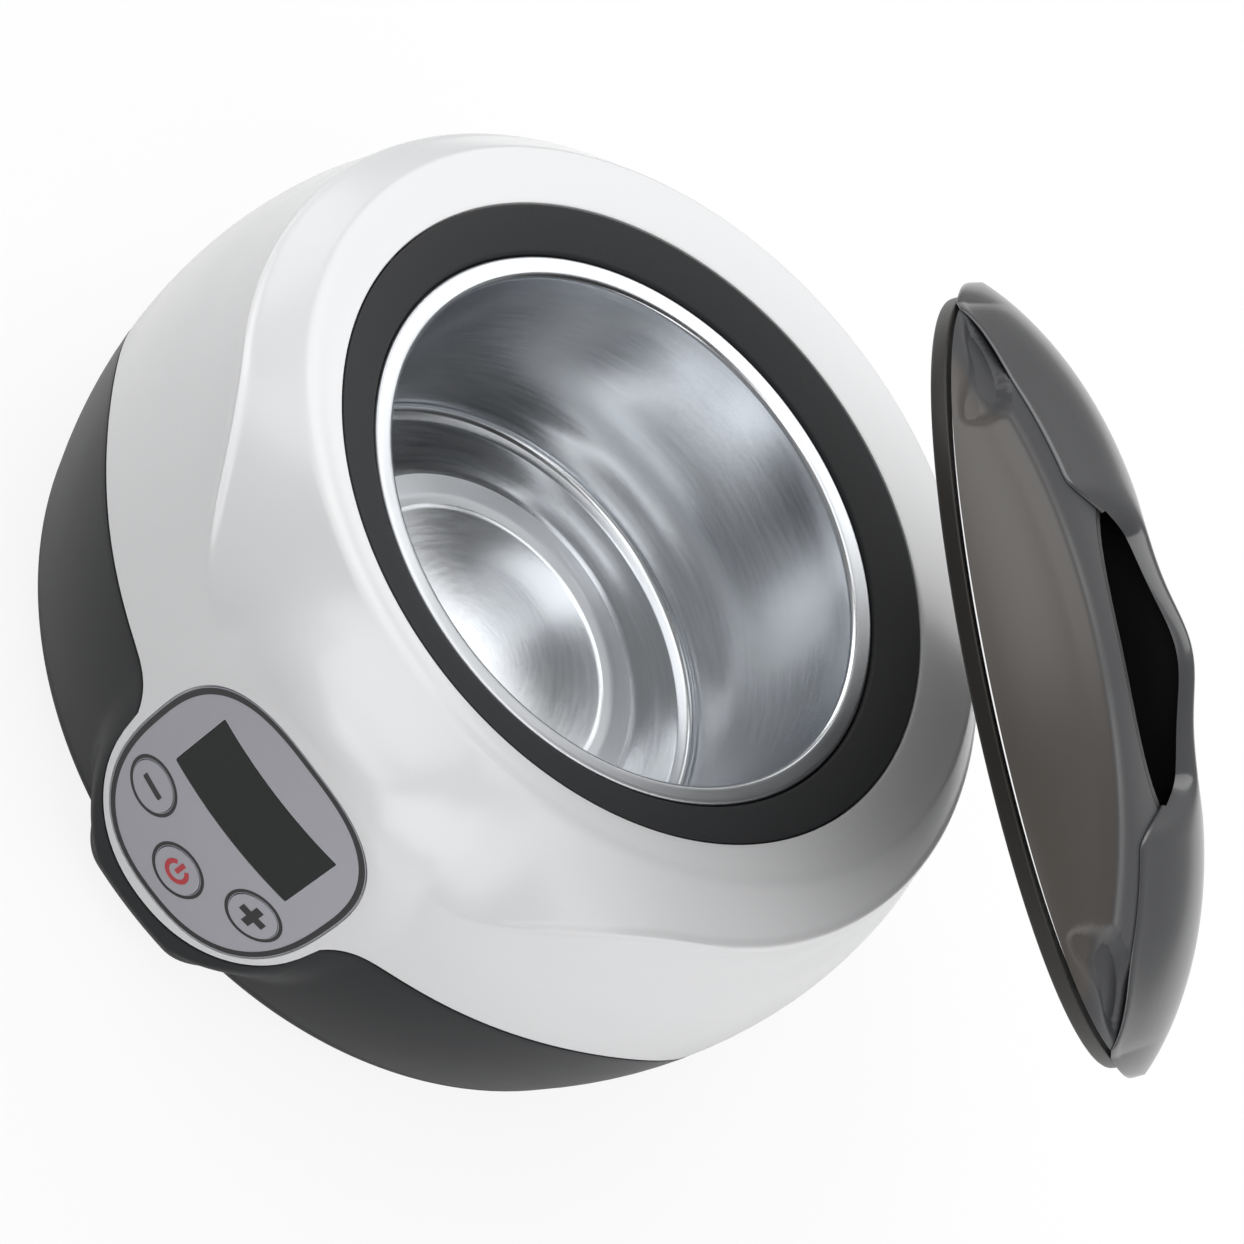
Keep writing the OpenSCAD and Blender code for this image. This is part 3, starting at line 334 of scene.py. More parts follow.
def runTree(carrier, tree, values):
    # sets the named inputs by their identifiers and leaves a plain mesh
    step = carrier.modifiers.new("nodes", "NODES")
    step.node_group = tree
    for item in tree.interface.items_tree:
        if item.in_out == "INPUT" and item.name in values:
            step[item.identifier] = values[item.name]
    shaped = carrier.evaluated_get(bpy.context.evaluated_depsgraph_get())
    mesh = bpy.data.meshes.new_from_object(shaped)
    carrier.modifiers.clear()
    carrier.data = mesh
    cleanMesh(mesh)


def closeTree(tree, start, end, shape):
    # makes plain geometry of any instances and gives it the finish
    real = addNode(tree, "GeometryNodeRealizeInstances", {"Geometry": shape})
    inputs = {"Geometry": real.outputs["Geometry"], "Material": start.outputs["finish"]}
    paint = addNode(tree, "GeometryNodeSetMaterial", inputs)
    setInputs(tree, end, {"Geometry": paint.outputs["Geometry"]})
    return tree


def turningTree():
    # wraps a grid round Z: each row takes its radius and height from one point of the carrier's outline
    tree, start, end = newTree("turning", (("rows", "Int"), ("columns", "Int"), ("finish", "Material")))
    rows, columns = start.outputs["rows"], start.outputs["columns"]
    inputs = {"Vertices X": maths(tree, "ADD", columns, 1), "Vertices Y": rows}
    grid = addNode(tree, "GeometryNodeMeshGrid", inputs)
    index = addNode(tree, "GeometryNodeInputIndex").outputs[0]
    column = maths(tree, "FLOOR", maths(tree, "DIVIDE", index, rows))
    angle = maths(tree, "MULTIPLY", column, maths(tree, "DIVIDE", 2 * math.pi, columns))
    inputs = {"Geometry": start.outputs["Geometry"], "Index": maths(tree, "MODULO", index, rows)}
    sample = addNode(tree, "GeometryNodeSampleIndex", inputs, data_type="FLOAT_VECTOR")
    value = [s for s in sample.inputs if s.name == "Value" and s.enabled][0]
    tree.links.new(addNode(tree, "GeometryNodeInputPosition").outputs[0], value)
    point = [s for s in sample.outputs if s.enabled][0]
    radius, _, height = addNode(tree, "ShaderNodeSeparateXYZ", {0: point}).outputs
    x, y = [maths(tree, "MULTIPLY", radius, maths(tree, wave, angle)) for wave in ("COSINE", "SINE")]
    place = addNode(tree, "ShaderNodeCombineXYZ", {0: x, 1: y, 2: height}).outputs[0]
    bend = addNode(tree, "GeometryNodeSetPosition", {"Geometry": grid.outputs["Mesh"], "Position": place})
    inputs = {"Geometry": bend.outputs["Geometry"], "Distance": weld}
    join = addNode(tree, "GeometryNodeMergeByDistance", inputs)
    return closeTree(tree, start, end, join.outputs["Geometry"])


turning = turningTree()


def turnedPiece(name, outline, material, columns=256):
    # outline: (radius, height) points from pole to pole, or ending where they start
    mesh = bpy.data.meshes.new(name)
    steps = [(i, i + 1) for i in range(len(outline) - 1)]
    mesh.from_pydata([(r * mm, 0, z * mm) for r, z in outline], steps, [])
    carrier = addThing(name, mesh)
    runTree(carrier, turning, {"rows": len(outline), "columns": columns, "finish": material})
    return carrier


cornerShare = 0.48  # most of a side that one corner may take


def roundCorners(profile, sizes, steps):
    # replaces each corner by a small arc-like curve of the given size
    count, result = len(profile), []
    for i, (p, size) in enumerate(zip(profile, sizes)):
        before, after = profile[i - 1], profile[(i + 1) % count]
        if size <= 0:
            result.append(p)
            continue
        lead = np.array(before, float) - p
        tail = np.array(after, float) - p
        reachA = min(size, np.linalg.norm(lead) * cornerShare)
        reachB = min(size, np.linalg.norm(tail) * cornerShare)
        a = np.array(p) + lead / np.linalg.norm(lead) * reachA
        b = np.array(p) + tail / np.linalg.norm(tail) * reachB
        for k in range(steps + 1):
            t = k / steps
            result.append(tuple((1 - t) ** 2 * a + 2 * t * (1 - t) * np.array(p) + t * t * b))
    return result


def smoothStep(t):
    t = min(max(t, 0.0), 1.0)
    return t * t * (3 - 2 * t)


def mixed(a, b, t):
    return a + (b - a) * t


def signPower(v, p):
    return math.copysign(abs(v) ** (2 / p), v)


# the two shells

shell = {
    "bodyR": 100, "topZ": 92, "waistZ": 48, "shoulderIn": 8.2, "shoulderDrop": 5, "baseIn": 9.3,
    "baseRound": 9, "baseTuck": 7.5, "roundPower": 1.6, "footH": 1.5, "wall": 2.5,
    "landR": 83.8, "landShift": 5.6, "landDrop": 0.4, "landIn": 2.4,
    "ledgeR": 67, "ledgeZ": 84, "holeR": 72.3, "floorZ": 4.0,
    "seamGap": 0.3, "seamHigh": 49.8, "seamLow": 25, "seamPower": 12,
    "seamDip": 8.5, "seamDipW": 3.2,  # the seam drops a little beside the nose
    "lipDrop": 30, "lipPower": 2.2, "lipIn": 0.4,  # and runs round below the panel
    "noseR": 100.4, "noseHalfW": 28.6, "noseMidZ": 44, "noseUp": 37, "noseDown": 36,
    "nosePower": 2.3, "chinPower": 2, "noseFadeUp": 0.35, "noseFadeDown": 0.25, "fadeLow": 4, "fadeSpan": 14,
    "noseEndAt": 60,  # past this azimuth the nose has no share
    "browGrow": 1.4, "browBlend": 4, "bulgeAt": 6, "bulgeSpan": 22,
    # handles of the shoulder's curve above the nose and beside it: shares of its width and of its drop
    "browHandles": ((0.27, 0.21), (0.85, 0.16)), "sideHandles": ((0.33, 0.28), (0.67, 0.61)),
    # past the opening's edge and over the top; past the seam's edge; round the seat of the bottom plate
    "openingLip": ((0, -0.5), (0.15, -0.12), (0.5, 0)), "seamLip": ((-0.05, 0.25), (-0.3, 0)),
    "plateSeat": ((45.3, 1.5), (45.3, 3.3), (38, 3.3), (38, 5.8), (48, 5.8), (50, 4.0)),
    "tongueLow": 2.2, "tongueUp": 2.5, "tongueIn": 4.3, "tongueOut": 2.8,  # the base's tongue inside the seam
}
crease = {
    "levelAt": 50, "climb": 24, "fall": 14, "hold": 1.15, "holdPower": 6,
    "bead": 0.8, "beadW": 1.0, "beadAim": (0.62, 0.78), "beadAt": 24, "beadSpan": 9,
    "farAt": 40, "farSpan": 40, "farShare": 0.45,
    "flute": 0.4, "fluteW": 4, "fluteAt": 34, "fluteSpan": 14, "fluteEndAt": 110, "fluteEndSpan": 40,
    "fluteDown": 8.5, "fluteDownNear": 6,
}
pathRows = {
    "shoulder": 40, "wall": 60, "smoothing": 6, "nearCrease": 2.6, "edgeMost": 4.8, "edgeShare": 0.45,
    "atEdge": 12, "atShoulder": 24, "atCrease": 16, "atWall": 36, "baseWall": 30, "baseRound": 14,
    "wallInside": (78, 70, 62, 56), "shoulderInside": (40, 30, 22),  # rows that the inner wall follows
    "sections": ((24, 0.5), (50, 1.0), (181, 2.0)),  # up to this azimuth, a section every so many degrees
}
creaseZ = shell["topZ"] - shell["shoulderDrop"]
landZ = shell["topZ"] - shell["landDrop"]


def signedTurn(a):
    return a - 360 if a > 180 else a


def alongFace(a):
    return math.radians(signedTurn(a)) * shell["noseR"]


def plainRadius(z):
    if z > shell["waistZ"]:
        return shell["bodyR"] - shell["shoulderIn"] * ((z - shell["waistZ"]) / (creaseZ - shell["waistZ"])) ** 2
    return shell["bodyR"] - shell["baseIn"] * ((shell["waistZ"] - z) / (shell["waistZ"] - shell["footH"])) ** 2


def noseShare(a, z):
    if abs(signedTurn(a)) > shell["noseEndAt"]:
        return 0.0
    p = shell["nosePower"] if z > shell["noseMidZ"] else shell["chinPower"]
    reachZ = shell["noseUp"] if z > shell["noseMidZ"] else shell["noseDown"]
    across, up = abs(alongFace(a)) / shell["noseHalfW"], abs(z - shell["noseMidZ"]) / reachZ
    reach = (across ** p + up ** p) ** (1 / p)
    rise = smoothStep((z - shell["noseMidZ"] + shell["fadeLow"]) / shell["fadeSpan"])
    fade = mixed(shell["noseFadeDown"], shell["noseFadeUp"], rise)
    return smoothStep(1 - (reach - 1) / fade)


def skinRadius(a, z):
    return mixed(plainRadius(z), shell["noseR"], noseShare(a, z))


def skinPoint(a, z, inset=0):
    return skinRadius(a, z) - inset, z


def seamHeight(a):
    s, edge, p = abs(alongFace(a)), shell["noseHalfW"] - shell["lipIn"], shell["lipPower"]
    wave = mixed(shell["seamHigh"], shell["seamLow"], abs(math.sin(math.radians(a))) ** shell["seamPower"])
    if abs(signedTurn(a)) > shell["noseEndAt"]:
        return wave
    if s < edge:
        return shell["noseMidZ"] - shell["lipDrop"] * (1 - (s / shell["noseHalfW"]) ** p) ** (1 / p)
    return wave - shell["seamDip"] * math.exp(-(s - edge) / shell["seamDipW"])


def heldSquare(t):
    # a square that levels off, so the crease ends in its lowest height
    return t * t / (1 + (t * t / crease["hold"]) ** crease["holdPower"]) ** (1 / crease["holdPower"])


def turnHeight(a):
    # the brow of the nose and the crease that climbs from beside it, joined softly
    s, halfW, p = abs(alongFace(a)), shell["noseHalfW"] + shell["browGrow"], shell["nosePower"]
    climb = max(0, crease["levelAt"] - abs(signedTurn(a))) / crease["climb"]
    side = creaseZ - crease["fall"] * heldSquare(climb)
    if abs(signedTurn(a)) > shell["noseEndAt"]:
        return side
    brow = shell["noseMidZ"] + (0 if s >= halfW else shell["noseUp"] * (1 - (s / halfW) ** p) ** (1 / p))
    return (brow + side + math.sqrt((brow - side) ** 2 + shell["browBlend"] ** 2)) / 2


def landEdge(a):
    return shell["landR"] - shell["landShift"] * math.cos(math.radians(a))


def topCurve(a, t):
    # nearly straight at the sides, a bulge with a hollow start above the nose
    z1 = turnHeight(a)
    r0, r1 = landEdge(a), skinRadius(a, z1)
    side = smoothStep((abs(signedTurn(a)) - shell["bulgeAt"]) / shell["bulgeSpan"])
    handles = [(mixed(brow[0], flank[0], side), mixed(brow[1], flank[1], side))
               for brow, flank in zip(shell["browHandles"], shell["sideHandles"])]
    across = (r0, *(mixed(r0, r1, out) for out, down in handles), r1)
    upward = (landZ, *(mixed(landZ, z1, down) for out, down in handles), z1)
    shares = ((1 - t) ** 3, 3 * t * (1 - t) ** 2, 3 * t * t * (1 - t), t ** 3)
    return sum(c * w for c, w in zip(across, shares)), sum(c * w for c, w in zip(upward, shares))


def creaseRelief(side, past):
    # height of the bead on the crease and depth of the flute below it, at this distance past the crease
    far = smoothStep((side - crease["farAt"]) / crease["farSpan"])
    strength = smoothStep((side - crease["beadAt"]) / crease["beadSpan"]) * mixed(1, crease["farShare"], far)
    bead = crease["bead"] * strength * np.exp(-(past / crease["beadW"]) ** 2)
    start = smoothStep((side - crease["fluteAt"]) / crease["fluteSpan"])
    end = smoothStep((side - crease["fluteEndAt"]) / crease["fluteEndSpan"])
    down = crease["fluteDown"] + crease["fluteDownNear"] * (1 - far)
    flute = crease["flute"] * start * (1 - end) * np.exp(-((past - down) / crease["fluteW"]) ** 2)
    return bead, flute


def outerPath(a):
    # land edge, shoulder and wall down to the seam, with close points and a soft bead along the crease
    zt, zs, steps = turnHeight(a), seamHeight(a), pathRows["wall"]
    path = [(landEdge(a) - shell["landIn"], landZ)]
    path += [topCurve(a, i / pathRows["shoulder"]) for i in range(pathRows["shoulder"] + 1)]
    path += [skinPoint(a, mixed(zt, zs, i / steps)) for i in range(1, steps + 1)]
    path = np.array(path)
    length = np.concatenate([[0], np.cumsum(np.linalg.norm(np.diff(path, axis=0), axis=1))])
    turn, near = length[pathRows["shoulder"] + 1], pathRows["nearCrease"]
    lead = min(pathRows["edgeMost"], pathRows["edgeShare"] * (turn - near))
    where = np.concatenate([np.linspace(0, lead, pathRows["atEdge"], endpoint=False),
                            np.linspace(lead, turn - near, pathRows["atShoulder"]),
                            np.linspace(turn - near, turn + near, pathRows["atCrease"])[1:-1],
                            np.linspace(turn + near, length[-1], pathRows["atWall"])])
    path = np.stack([np.interp(where, length, path[:, 0]), np.interp(where, length, path[:, 1])], 1)
    for _ in range(pathRows["smoothing"]):
        path[1:-1] = 0.5 * path[1:-1] + 0.25 * (path[:-2] + path[2:])
    bead, flute = creaseRelief(abs(signedTurn(a)), where - turn)
    path += bead[:, None] * np.array(crease["beadAim"])
    path[:, 0] -= flute
    return [tuple(p) for p in path]


def upperLoop(a):
    # from the ledge up to the opening's rounded lip, out over the skin, and back along the inner wall
    outer, wall, hole, top = outerPath(a), shell["wall"], shell["holeR"], shell["topZ"]
    ledgeR, ledgeZ, low = shell["ledgeR"], shell["ledgeZ"], outer[-1]
    loop = [(ledgeR, ledgeZ), (hole, ledgeZ)] + [(hole + r, top + z) for r, z in shell["openingLip"]]
    landIn = landEdge(a) - shell["landIn"]
    loop += [(mixed(hole + 1.2, landIn, t), mixed(top, landZ, t ** 2)) for t in (0, 0.35, 0.7)]
    loop += outer[:-1] + [(low[0] + r, low[1] + z) for r, z in shell["seamLip"]] + [(low[0] - wall, low[1])]
    loop += [(outer[i][0] - wall, outer[i][1]) for i in pathRows["wallInside"]]
    loop += [(outer[i][0] - wall * 0.8, outer[i][1] - wall * 0.6) for i in pathRows["shoulderInside"]]
    loop += [(max(landEdge(a) - 0.5, hole + wall + 0.2), landZ - wall), (hole + wall, landZ - wall),
             (hole + wall, ledgeZ - wall), (ledgeR, ledgeZ - wall)]
    return loop


def baseLoop(a):
    # from the seam down the skin and the rounded edge, round the plate's seat, and up inside to the tongue
    wall, footH, floorZ, tuck = shell["wall"], shell["footH"], shell["floorZ"], shell["baseTuck"]
    zt, zr = seamHeight(a) - shell["seamGap"], footH + shell["baseRound"]
    rr = skinRadius(a, zr)
    foot, steps, bends = rr - tuck, pathRows["baseWall"], pathRows["baseRound"]
    loop = [(skinRadius(a, zt) - 0.35, zt), (skinRadius(a, zt - 0.3) - 0.05, zt - 0.12)]
    loop += [skinPoint(a, mixed(zt - 0.5, zr, i / steps)) for i in range(steps + 1)]
    loop += [(rr - tuck * t ** shell["roundPower"], zr - shell["baseRound"] * t)
             for t in [k / bends for k in range(1, bends)]]
    loop += [(foot - 0.1, footH + 0.15), (foot - 0.6, footH), *shell["plateSeat"]]
    loop += [(foot - wall + 1, floorZ), (rr - wall - 3, floorZ + wall), (rr - wall, zr - 1.5)]
    loop += [skinPoint(a, mixed(zt - 2.8, zr - 1, i / 3), wall) for i in (2, 1)]
    low, high = zt - shell["tongueLow"], zt + shell["tongueUp"]
    loop += [skinPoint(a, low, shell["tongueIn"]), skinPoint(a, high, shell["tongueIn"]),
             skinPoint(a, high, shell["tongueOut"]), skinPoint(a, zt, shell["tongueOut"])]
    return loop


def ringLoft(name, loopAt):
    # sections stand close together over the nose and wider apart elsewhere
    turns = [0.0]
    while turns[-1] < 359.6:
        here = abs(signedTurn(turns[-1]))
        turns.append(turns[-1] + [step for reach, step in pathRows["sections"] if here < reach][0])
    turns = [t for t in turns if t < 359.7]
    loops = [loopAt(t) for t in turns]
    count = len(loops[0])
    points = [(r * math.sin(math.radians(t)), -r * math.cos(math.radians(t)), z)
              for t, loop in zip(turns, loops) for r, z in loop]
    faces = []
    for j in range(len(turns)):
        k = (j + 1) % len(turns)
        for i in range(count):
            n = (i + 1) % count
            faces.append((j * count + i, k * count + i, k * count + n, j * count + n))
    return rawMesh(name, points, faces)


panel = {
    "halfW": 26.3, "low": 17.4, "high": 78.4, "midZ": 50, "powerUp": 2.5, "powerDown": 2.7,
    "thick": 0.7, "gap": 0.35, "sunk": 0.1, "gapShadowIn": 0.15, "gapShadowW": 1.2,
    "windowW": 33.8, "windowH": 18.2, "windowZ": 56.2, "windowCorner": 0.4, "windowGap": 0.15,
    "lensProud": 0.02, "lensThick": 3,
    "keyR": 5.3, "keyGap": 0.2, "keys": [(-15.7, 37.0), (0.0, 28.7), (15.7, 37.0)], "keyProud": 0.25,
    "ringW": 0.75, "ringGap": 0.15, "inkThick": 0.07, "inkLift": -0.07, "sliceW": 1.2,
    "cutNear": 90, "cutFar": 110, "cutOver": 6, "cutUnder": 0.1,  # reach of the tools that cut the nose
}
casePost = {
    "turns": (45, 135, 225, 315), "r": 80,
    "postR": 4.2, "postZ": (2.5, 30), "seatR": 3.1, "seatZ": (0, 20),
}
inlet = {
    "frame": ((-16, 89.3, 13.5), (16, 92.5, 34.5)),
    "opening": ((-14.2, 92.5, 15.3), (14.2, 106, 32.7)),
    "throat": ((-11.2, 80, 16.8), (11.2, 106, 31.2)),
}


def panelOutline(grow, count=160):
    result = []
    for i in range(count):
        u = 2 * math.pi * i / count
        up = math.sin(u) > 0
        p = panel["powerUp"] if up else panel["powerDown"]
        high = (panel["high"] - panel["midZ"] if up else panel["midZ"] - panel["low"]) + grow
        result.append(((panel["halfW"] + grow) * signPower(math.cos(u), p),
                       panel["midZ"] + high * signPower(math.sin(u), p)))
    return result


def discOutline(centre, radius, count=48):
    return [(centre[0] + radius * math.cos(2 * math.pi * i / count),
             centre[1] + radius * math.sin(2 * math.pi * i / count)) for i in range(count)]


def boxOutline(place, w, h, corner, steps):
    x, z = place
    loop = [(x - w / 2, z - h / 2), (x + w / 2, z - h / 2), (x + w / 2, z + h / 2), (x - w / 2, z + h / 2)]
    return roundCorners(loop, [corner] * 4, steps)


def windowOutline(gap):
    size = [panel[side] + 2 * gap for side in ("windowW", "windowH")]
    return boxOutline((0, panel["windowZ"]), *size, panel["windowCorner"], 4)


def wrapSheet(name, loops, outerR, innerR):
    # fills flat outlines (the first is the edge, the rest are holes), slices them and bends them round the nose
    work = bmesh.new()
    for loop in loops:
        corners = [work.verts.new((x, z, 0)) for x, z in loop]
        for a, b in zip(corners, corners[1:] + corners[:1]):
            work.edges.new((a, b))
    bmesh.ops.triangle_fill(work, use_beauty=True, use_dissolve=False, edges=work.edges)
    xs = [p[0] for loop in loops for p in loop]
    cut = math.ceil(min(xs) / panel["sliceW"]) * panel["sliceW"]
    while cut < max(xs):
        bmesh.ops.bisect_plane(work, geom=work.verts[:] + work.edges[:] + work.faces[:],
                               plane_co=(cut, 0, 0), plane_no=(1, 0, 0), dist=1e-5)
        cut += panel["sliceW"]
    for face in work.faces:
        if face.normal.z < 0:
            face.normal_flip()
    grown = bmesh.ops.extrude_face_region(work, geom=work.faces[:])
    for corner in [g for g in grown["geom"] if isinstance(g, bmesh.types.BMVert)]:
        corner.co.z = 1
    for corner in work.verts:
        r = mixed(innerR, outerR, corner.co.z)
        turn = math.asin(corner.co.x / shell["noseR"])
        corner.co = Vector((r * math.sin(turn), -r * math.cos(turn), corner.co.y)) * mm
    bmesh.ops.recalc_face_normals(work, faces=work.faces)
    if work.calc_volume(signed=True) < 0:
        bmesh.ops.reverse_faces(work, faces=work.faces)
    mesh = bpy.data.meshes.new(name)
    work.to_mesh(mesh)
    work.free()
    return addThing(name, mesh)


def sweptTool(name, near, far):
    # closed solid between two outlines with as many corners
    n = len(near)
    faces = [(i, (i + 1) % n, n + (i + 1) % n, n + i) for i in range(n)]
    faces += [tuple(range(n - 1, -1, -1)), tuple(range(n, 2 * n))]
    return rawMesh(name, near + far, faces)


def prism(outline, low, high):
    return sweptTool("prismTool", *[[(x, y, z) for x, y in outline] for z in (low, high)])


def rodTool(place, radius, near, far):
    return sweptTool("rodTool", *[[(x, -y, z) for x, z in discOutline(place, radius, 64)] for y in (near, far)])


def boxTool(low, high):
    (x0, y0, z0), (x1, y1, z1) = low, high
    return prism([(x0, y0), (x1, y0), (x1, y1), (x0, y1)], z0, z1)


def postTool(a, radius, ends):
    place = (casePost["r"] * math.sin(math.radians(a)), -casePost["r"] * math.cos(math.radians(a)))
    return prism(discOutline(place, radius, 40), *ends)


def makeShells():
    upper = ringLoft("upperShellSkin", upperLoop)
    outerR, innerR = shell["noseR"] + panel["cutOver"], shell["noseR"] - panel["thick"] - panel["cutUnder"]
    recess = wrapSheet("recessTool", [panelOutline(panel["gap"])], outerR, innerR)
    halfW, halfH = panel["windowW"] / 2 + panel["windowGap"], panel["windowH"] / 2 + panel["windowGap"]
    near, far = panel["cutNear"], panel["cutFar"]
    window = boxTool((-halfW, -far, panel["windowZ"] - halfH), (halfW, -near, panel["windowZ"] + halfH))
    holes = [rodTool(place, panel["keyR"] + panel["keyGap"], near, far) for place in panel["keys"]]
    cutPiece(upper, [recess, window] + holes)
    dressPiece(upper, finish["white"], "housing", 32)
    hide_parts("upper_shell")

    base = ringLoft("baseShellSkin", baseLoop)
    cutPiece(base, [boxTool(*inlet["frame"])], "UNION")
    seats = [postTool(a, casePost["seatR"], casePost["seatZ"]) for a in casePost["turns"]]
    posts = [postTool(a, casePost["postR"], casePost["postZ"]) for a in casePost["turns"]]
    cutPiece(base, posts, "UNION")
    cutPiece(base, seats + [boxTool(*inlet["opening"]), boxTool(*inlet["throat"])])
    dressPiece(base, finish["black"], "housing", 32)
    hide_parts("base_shell")
    print("shells ready")


makeShells()

# panel, window and key marks


# a thin film of a mark finish: printed marks, and the painted gap shadow round the panel
def inkAndShadowFilm(name, loops, ink, body, lift):
    top = shell["noseR"] + lift
    piece = wrapSheet(name, loops, top, top - panel["inkThick"])
    dressPiece(piece, finish[ink], body)


def makePanel():
    top = shell["noseR"] - panel["sunk"]
    holes = [windowOutline(panel["windowGap"])]
    holes += [discOutline(k, panel["keyR"] + panel["keyGap"]) for k in panel["keys"]]
    film = wrapSheet("panelFilm", [panelOutline(0)] + holes, top, top - panel["thick"])
    dressPiece(film, finish["print"], "housing")
    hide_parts("panel_overlay")

    # a thin black film just inside the panel's edge: painted shadow of the gap round the panel, not print
    gapShadow = [panelOutline(-panel["gapShadowIn"]), panelOutline(-panel["gapShadowIn"] - panel["gapShadowW"])]
    inkAndShadowFilm("panelBorder", gapShadow, "ink", "housing", panel["inkLift"])
    inner = panel["keyR"] + panel["keyGap"] + panel["ringGap"]
    for name, place in zip(("minus", "power", "plus"), panel["keys"]):
        circles = [discOutline(place, inner + panel["ringW"]), discOutline(place, inner)]
        inkAndShadowFilm(name + "KeyRing", circles, "ink", "housing", panel["inkLift"])

    lens = wrapSheet("windowLens", [windowOutline(0)], top + panel["lensProud"], top - panel["lensThick"])
    dressPiece(lens, finish["window"], "housing")
    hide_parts("display_window")
    print("panel ready")


keyMark = {
    "minusW": 5.6, "minusH": 1.5, "minusCorner": 0.25, "plusArm": 6.0, "plusW": 1.9,
    "powerR": 2.4, "powerW": 1.1, "powerGap": 34, "barH": 3.3, "barUp": 1.35, "barCorner": 0.2,
    "sunk": 0.06, "apart": 0.01,
}


def plusOutline(place):
    a, h = keyMark["plusArm"] / 2, keyMark["plusW"] / 2
    corners = [(-a, -h), (-h, -h), (-h, -a), (h, -a), (h, -h), (a, -h),
               (a, h), (h, h), (h, a), (-h, a), (-h, h), (-a, h)]
    return [(place[0] + x, place[1] + z) for x, z in corners]


def powerArc(place):
    start, end = math.radians(90 + keyMark["powerGap"]), math.radians(450 - keyMark["powerGap"])
    steps, half = 40, keyMark["powerW"] / 2
    turns = [mixed(start, end, i / steps) for i in range(steps + 1)]
    sides = ((keyMark["powerR"] + half, turns), (keyMark["powerR"] - half, turns[::-1]))
    return [(place[0] + r * math.cos(t), place[1] + r * math.sin(t)) for r, line in sides for t in line]


def makeKeyMarks():
    lift = panel["keyProud"] - keyMark["sunk"]
    minusAt, powerAt, plusAt = panel["keys"]
    minus = boxOutline(minusAt, keyMark["minusW"], keyMark["minusH"], keyMark["minusCorner"], 3)
    barAt = (powerAt[0], powerAt[1] + keyMark["barUp"])
    bar = boxOutline(barAt, keyMark["powerW"], keyMark["barH"], keyMark["barCorner"], 3)
    inkAndShadowFilm("minusMark", [minus], "ink", "key_minus", lift)
    inkAndShadowFilm("plusMark", [plusOutline(plusAt)], "ink", "key_plus", lift)
    inkAndShadowFilm("powerArcMark", [powerArc(powerAt)], "redInk", "key_power", lift)
    inkAndShadowFilm("powerBarMark", [bar], "redInk", "key_power", lift + keyMark["apart"])
    print("key marks ready")


makePanel()
makeKeyMarks()

# ring and pot

pot = {
    "ringR": 72, "ringDish": 4, "ringIn": 60.8, "ringLow": 84, "rimSeat": 86, "rimOpen": 62.6,
    "wallR": 57.5, "wallT": 0.8, "rimR": 62.2, "rimCurl": 0.9, "mouthZ": 87.4, "floorZ": 29,
    "landRise": 1.1, "corner": 2.5, "lip": 1.6, "wallLine": (45, 60, 75),
    # radius and height over the floor, from the middle past the disc and the ring to the groove
    "floorLine": [(0, 0), (10, 0), (22, 0), (32.8, 0), (34, 0.25), (35.2, 0.9), (36.6, 1.1), (40.8, 1.1),
                  (41.8, 1.35), (43, 1.2), (48, 1.2), (53.2, 1.3), (53.8, 1.2), (54.2, 0.75), (54.6, 0.75)],
    "backLine": [(36.8, 0.3), (33, -0.8), (0, -0.8)],
}


def arcPoints(cx, cz, r, start, end, steps):
    return [(cx + r * math.cos(math.radians(mixed(start, end, i / steps))),
             cz + r * math.sin(math.radians(mixed(start, end, i / steps)))) for i in range(steps + 1)]


def makeRing():
    top = shell["topZ"]
    profile = [(pot["ringIn"], pot["ringLow"]), (pot["ringR"], pot["ringLow"]), (pot["ringR"], top),
               (pot["rimOpen"], top - pot["ringDish"]), (pot["rimOpen"], pot["rimSeat"]),
               (pot["ringIn"], pot["rimSeat"])]
    outline = roundCorners(profile, [0, 0, 0.5, 0.7, 0.3, 0.3], 5)
    ring = turnedPiece("seatRingSkin", outline + outline[:1], finish["ring"])
    dressPiece(ring, finish["ring"], "housing", 50)
    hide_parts("seat_ring")


def makePot():
    # inside from the middle to the mouth, round the curled rim, and back outside
    floorZ, corner, lip, curl = pot["floorZ"], pot["corner"], pot["lip"], pot["rimCurl"]
    turnIn = (pot["wallR"] - corner, floorZ + pot["landRise"] + corner)
    turnOut = (pot["wallR"] + lip, pot["mouthZ"] - lip)
    outline = [(r, floorZ + z) for r, z in pot["floorLine"]]
    outline += arcPoints(*turnIn, corner, -80, 0, 8)
    outline += [(pot["wallR"], z) for z in pot["wallLine"]]
    outline += arcPoints(*turnOut, lip, 180, 90, 6)
    outline += arcPoints(pot["rimR"] - curl, pot["rimSeat"] + curl, curl, 100, -90, 12)
    outline += [(pot["rimR"] - 1.6 * curl, pot["rimSeat"] + 0.5),
                (pot["rimR"] - 2 * curl, pot["mouthZ"] - pot["wallT"])]
    outline += arcPoints(*turnOut, lip - pot["wallT"], 90, 180, 5)
    outline += arcPoints(*turnIn, corner + pot["wallT"], 0, -90, 8)
    outline += [(r, floorZ + z) for r, z in pot["backLine"]]
    cup = turnedPiece("potSkin", outline, finish["pot"])
    dressPiece(cup, finish["pot"], "pot", 35)
    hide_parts("inner_pot")


makeRing()
makePot()
print("ring and pot ready")

# lid

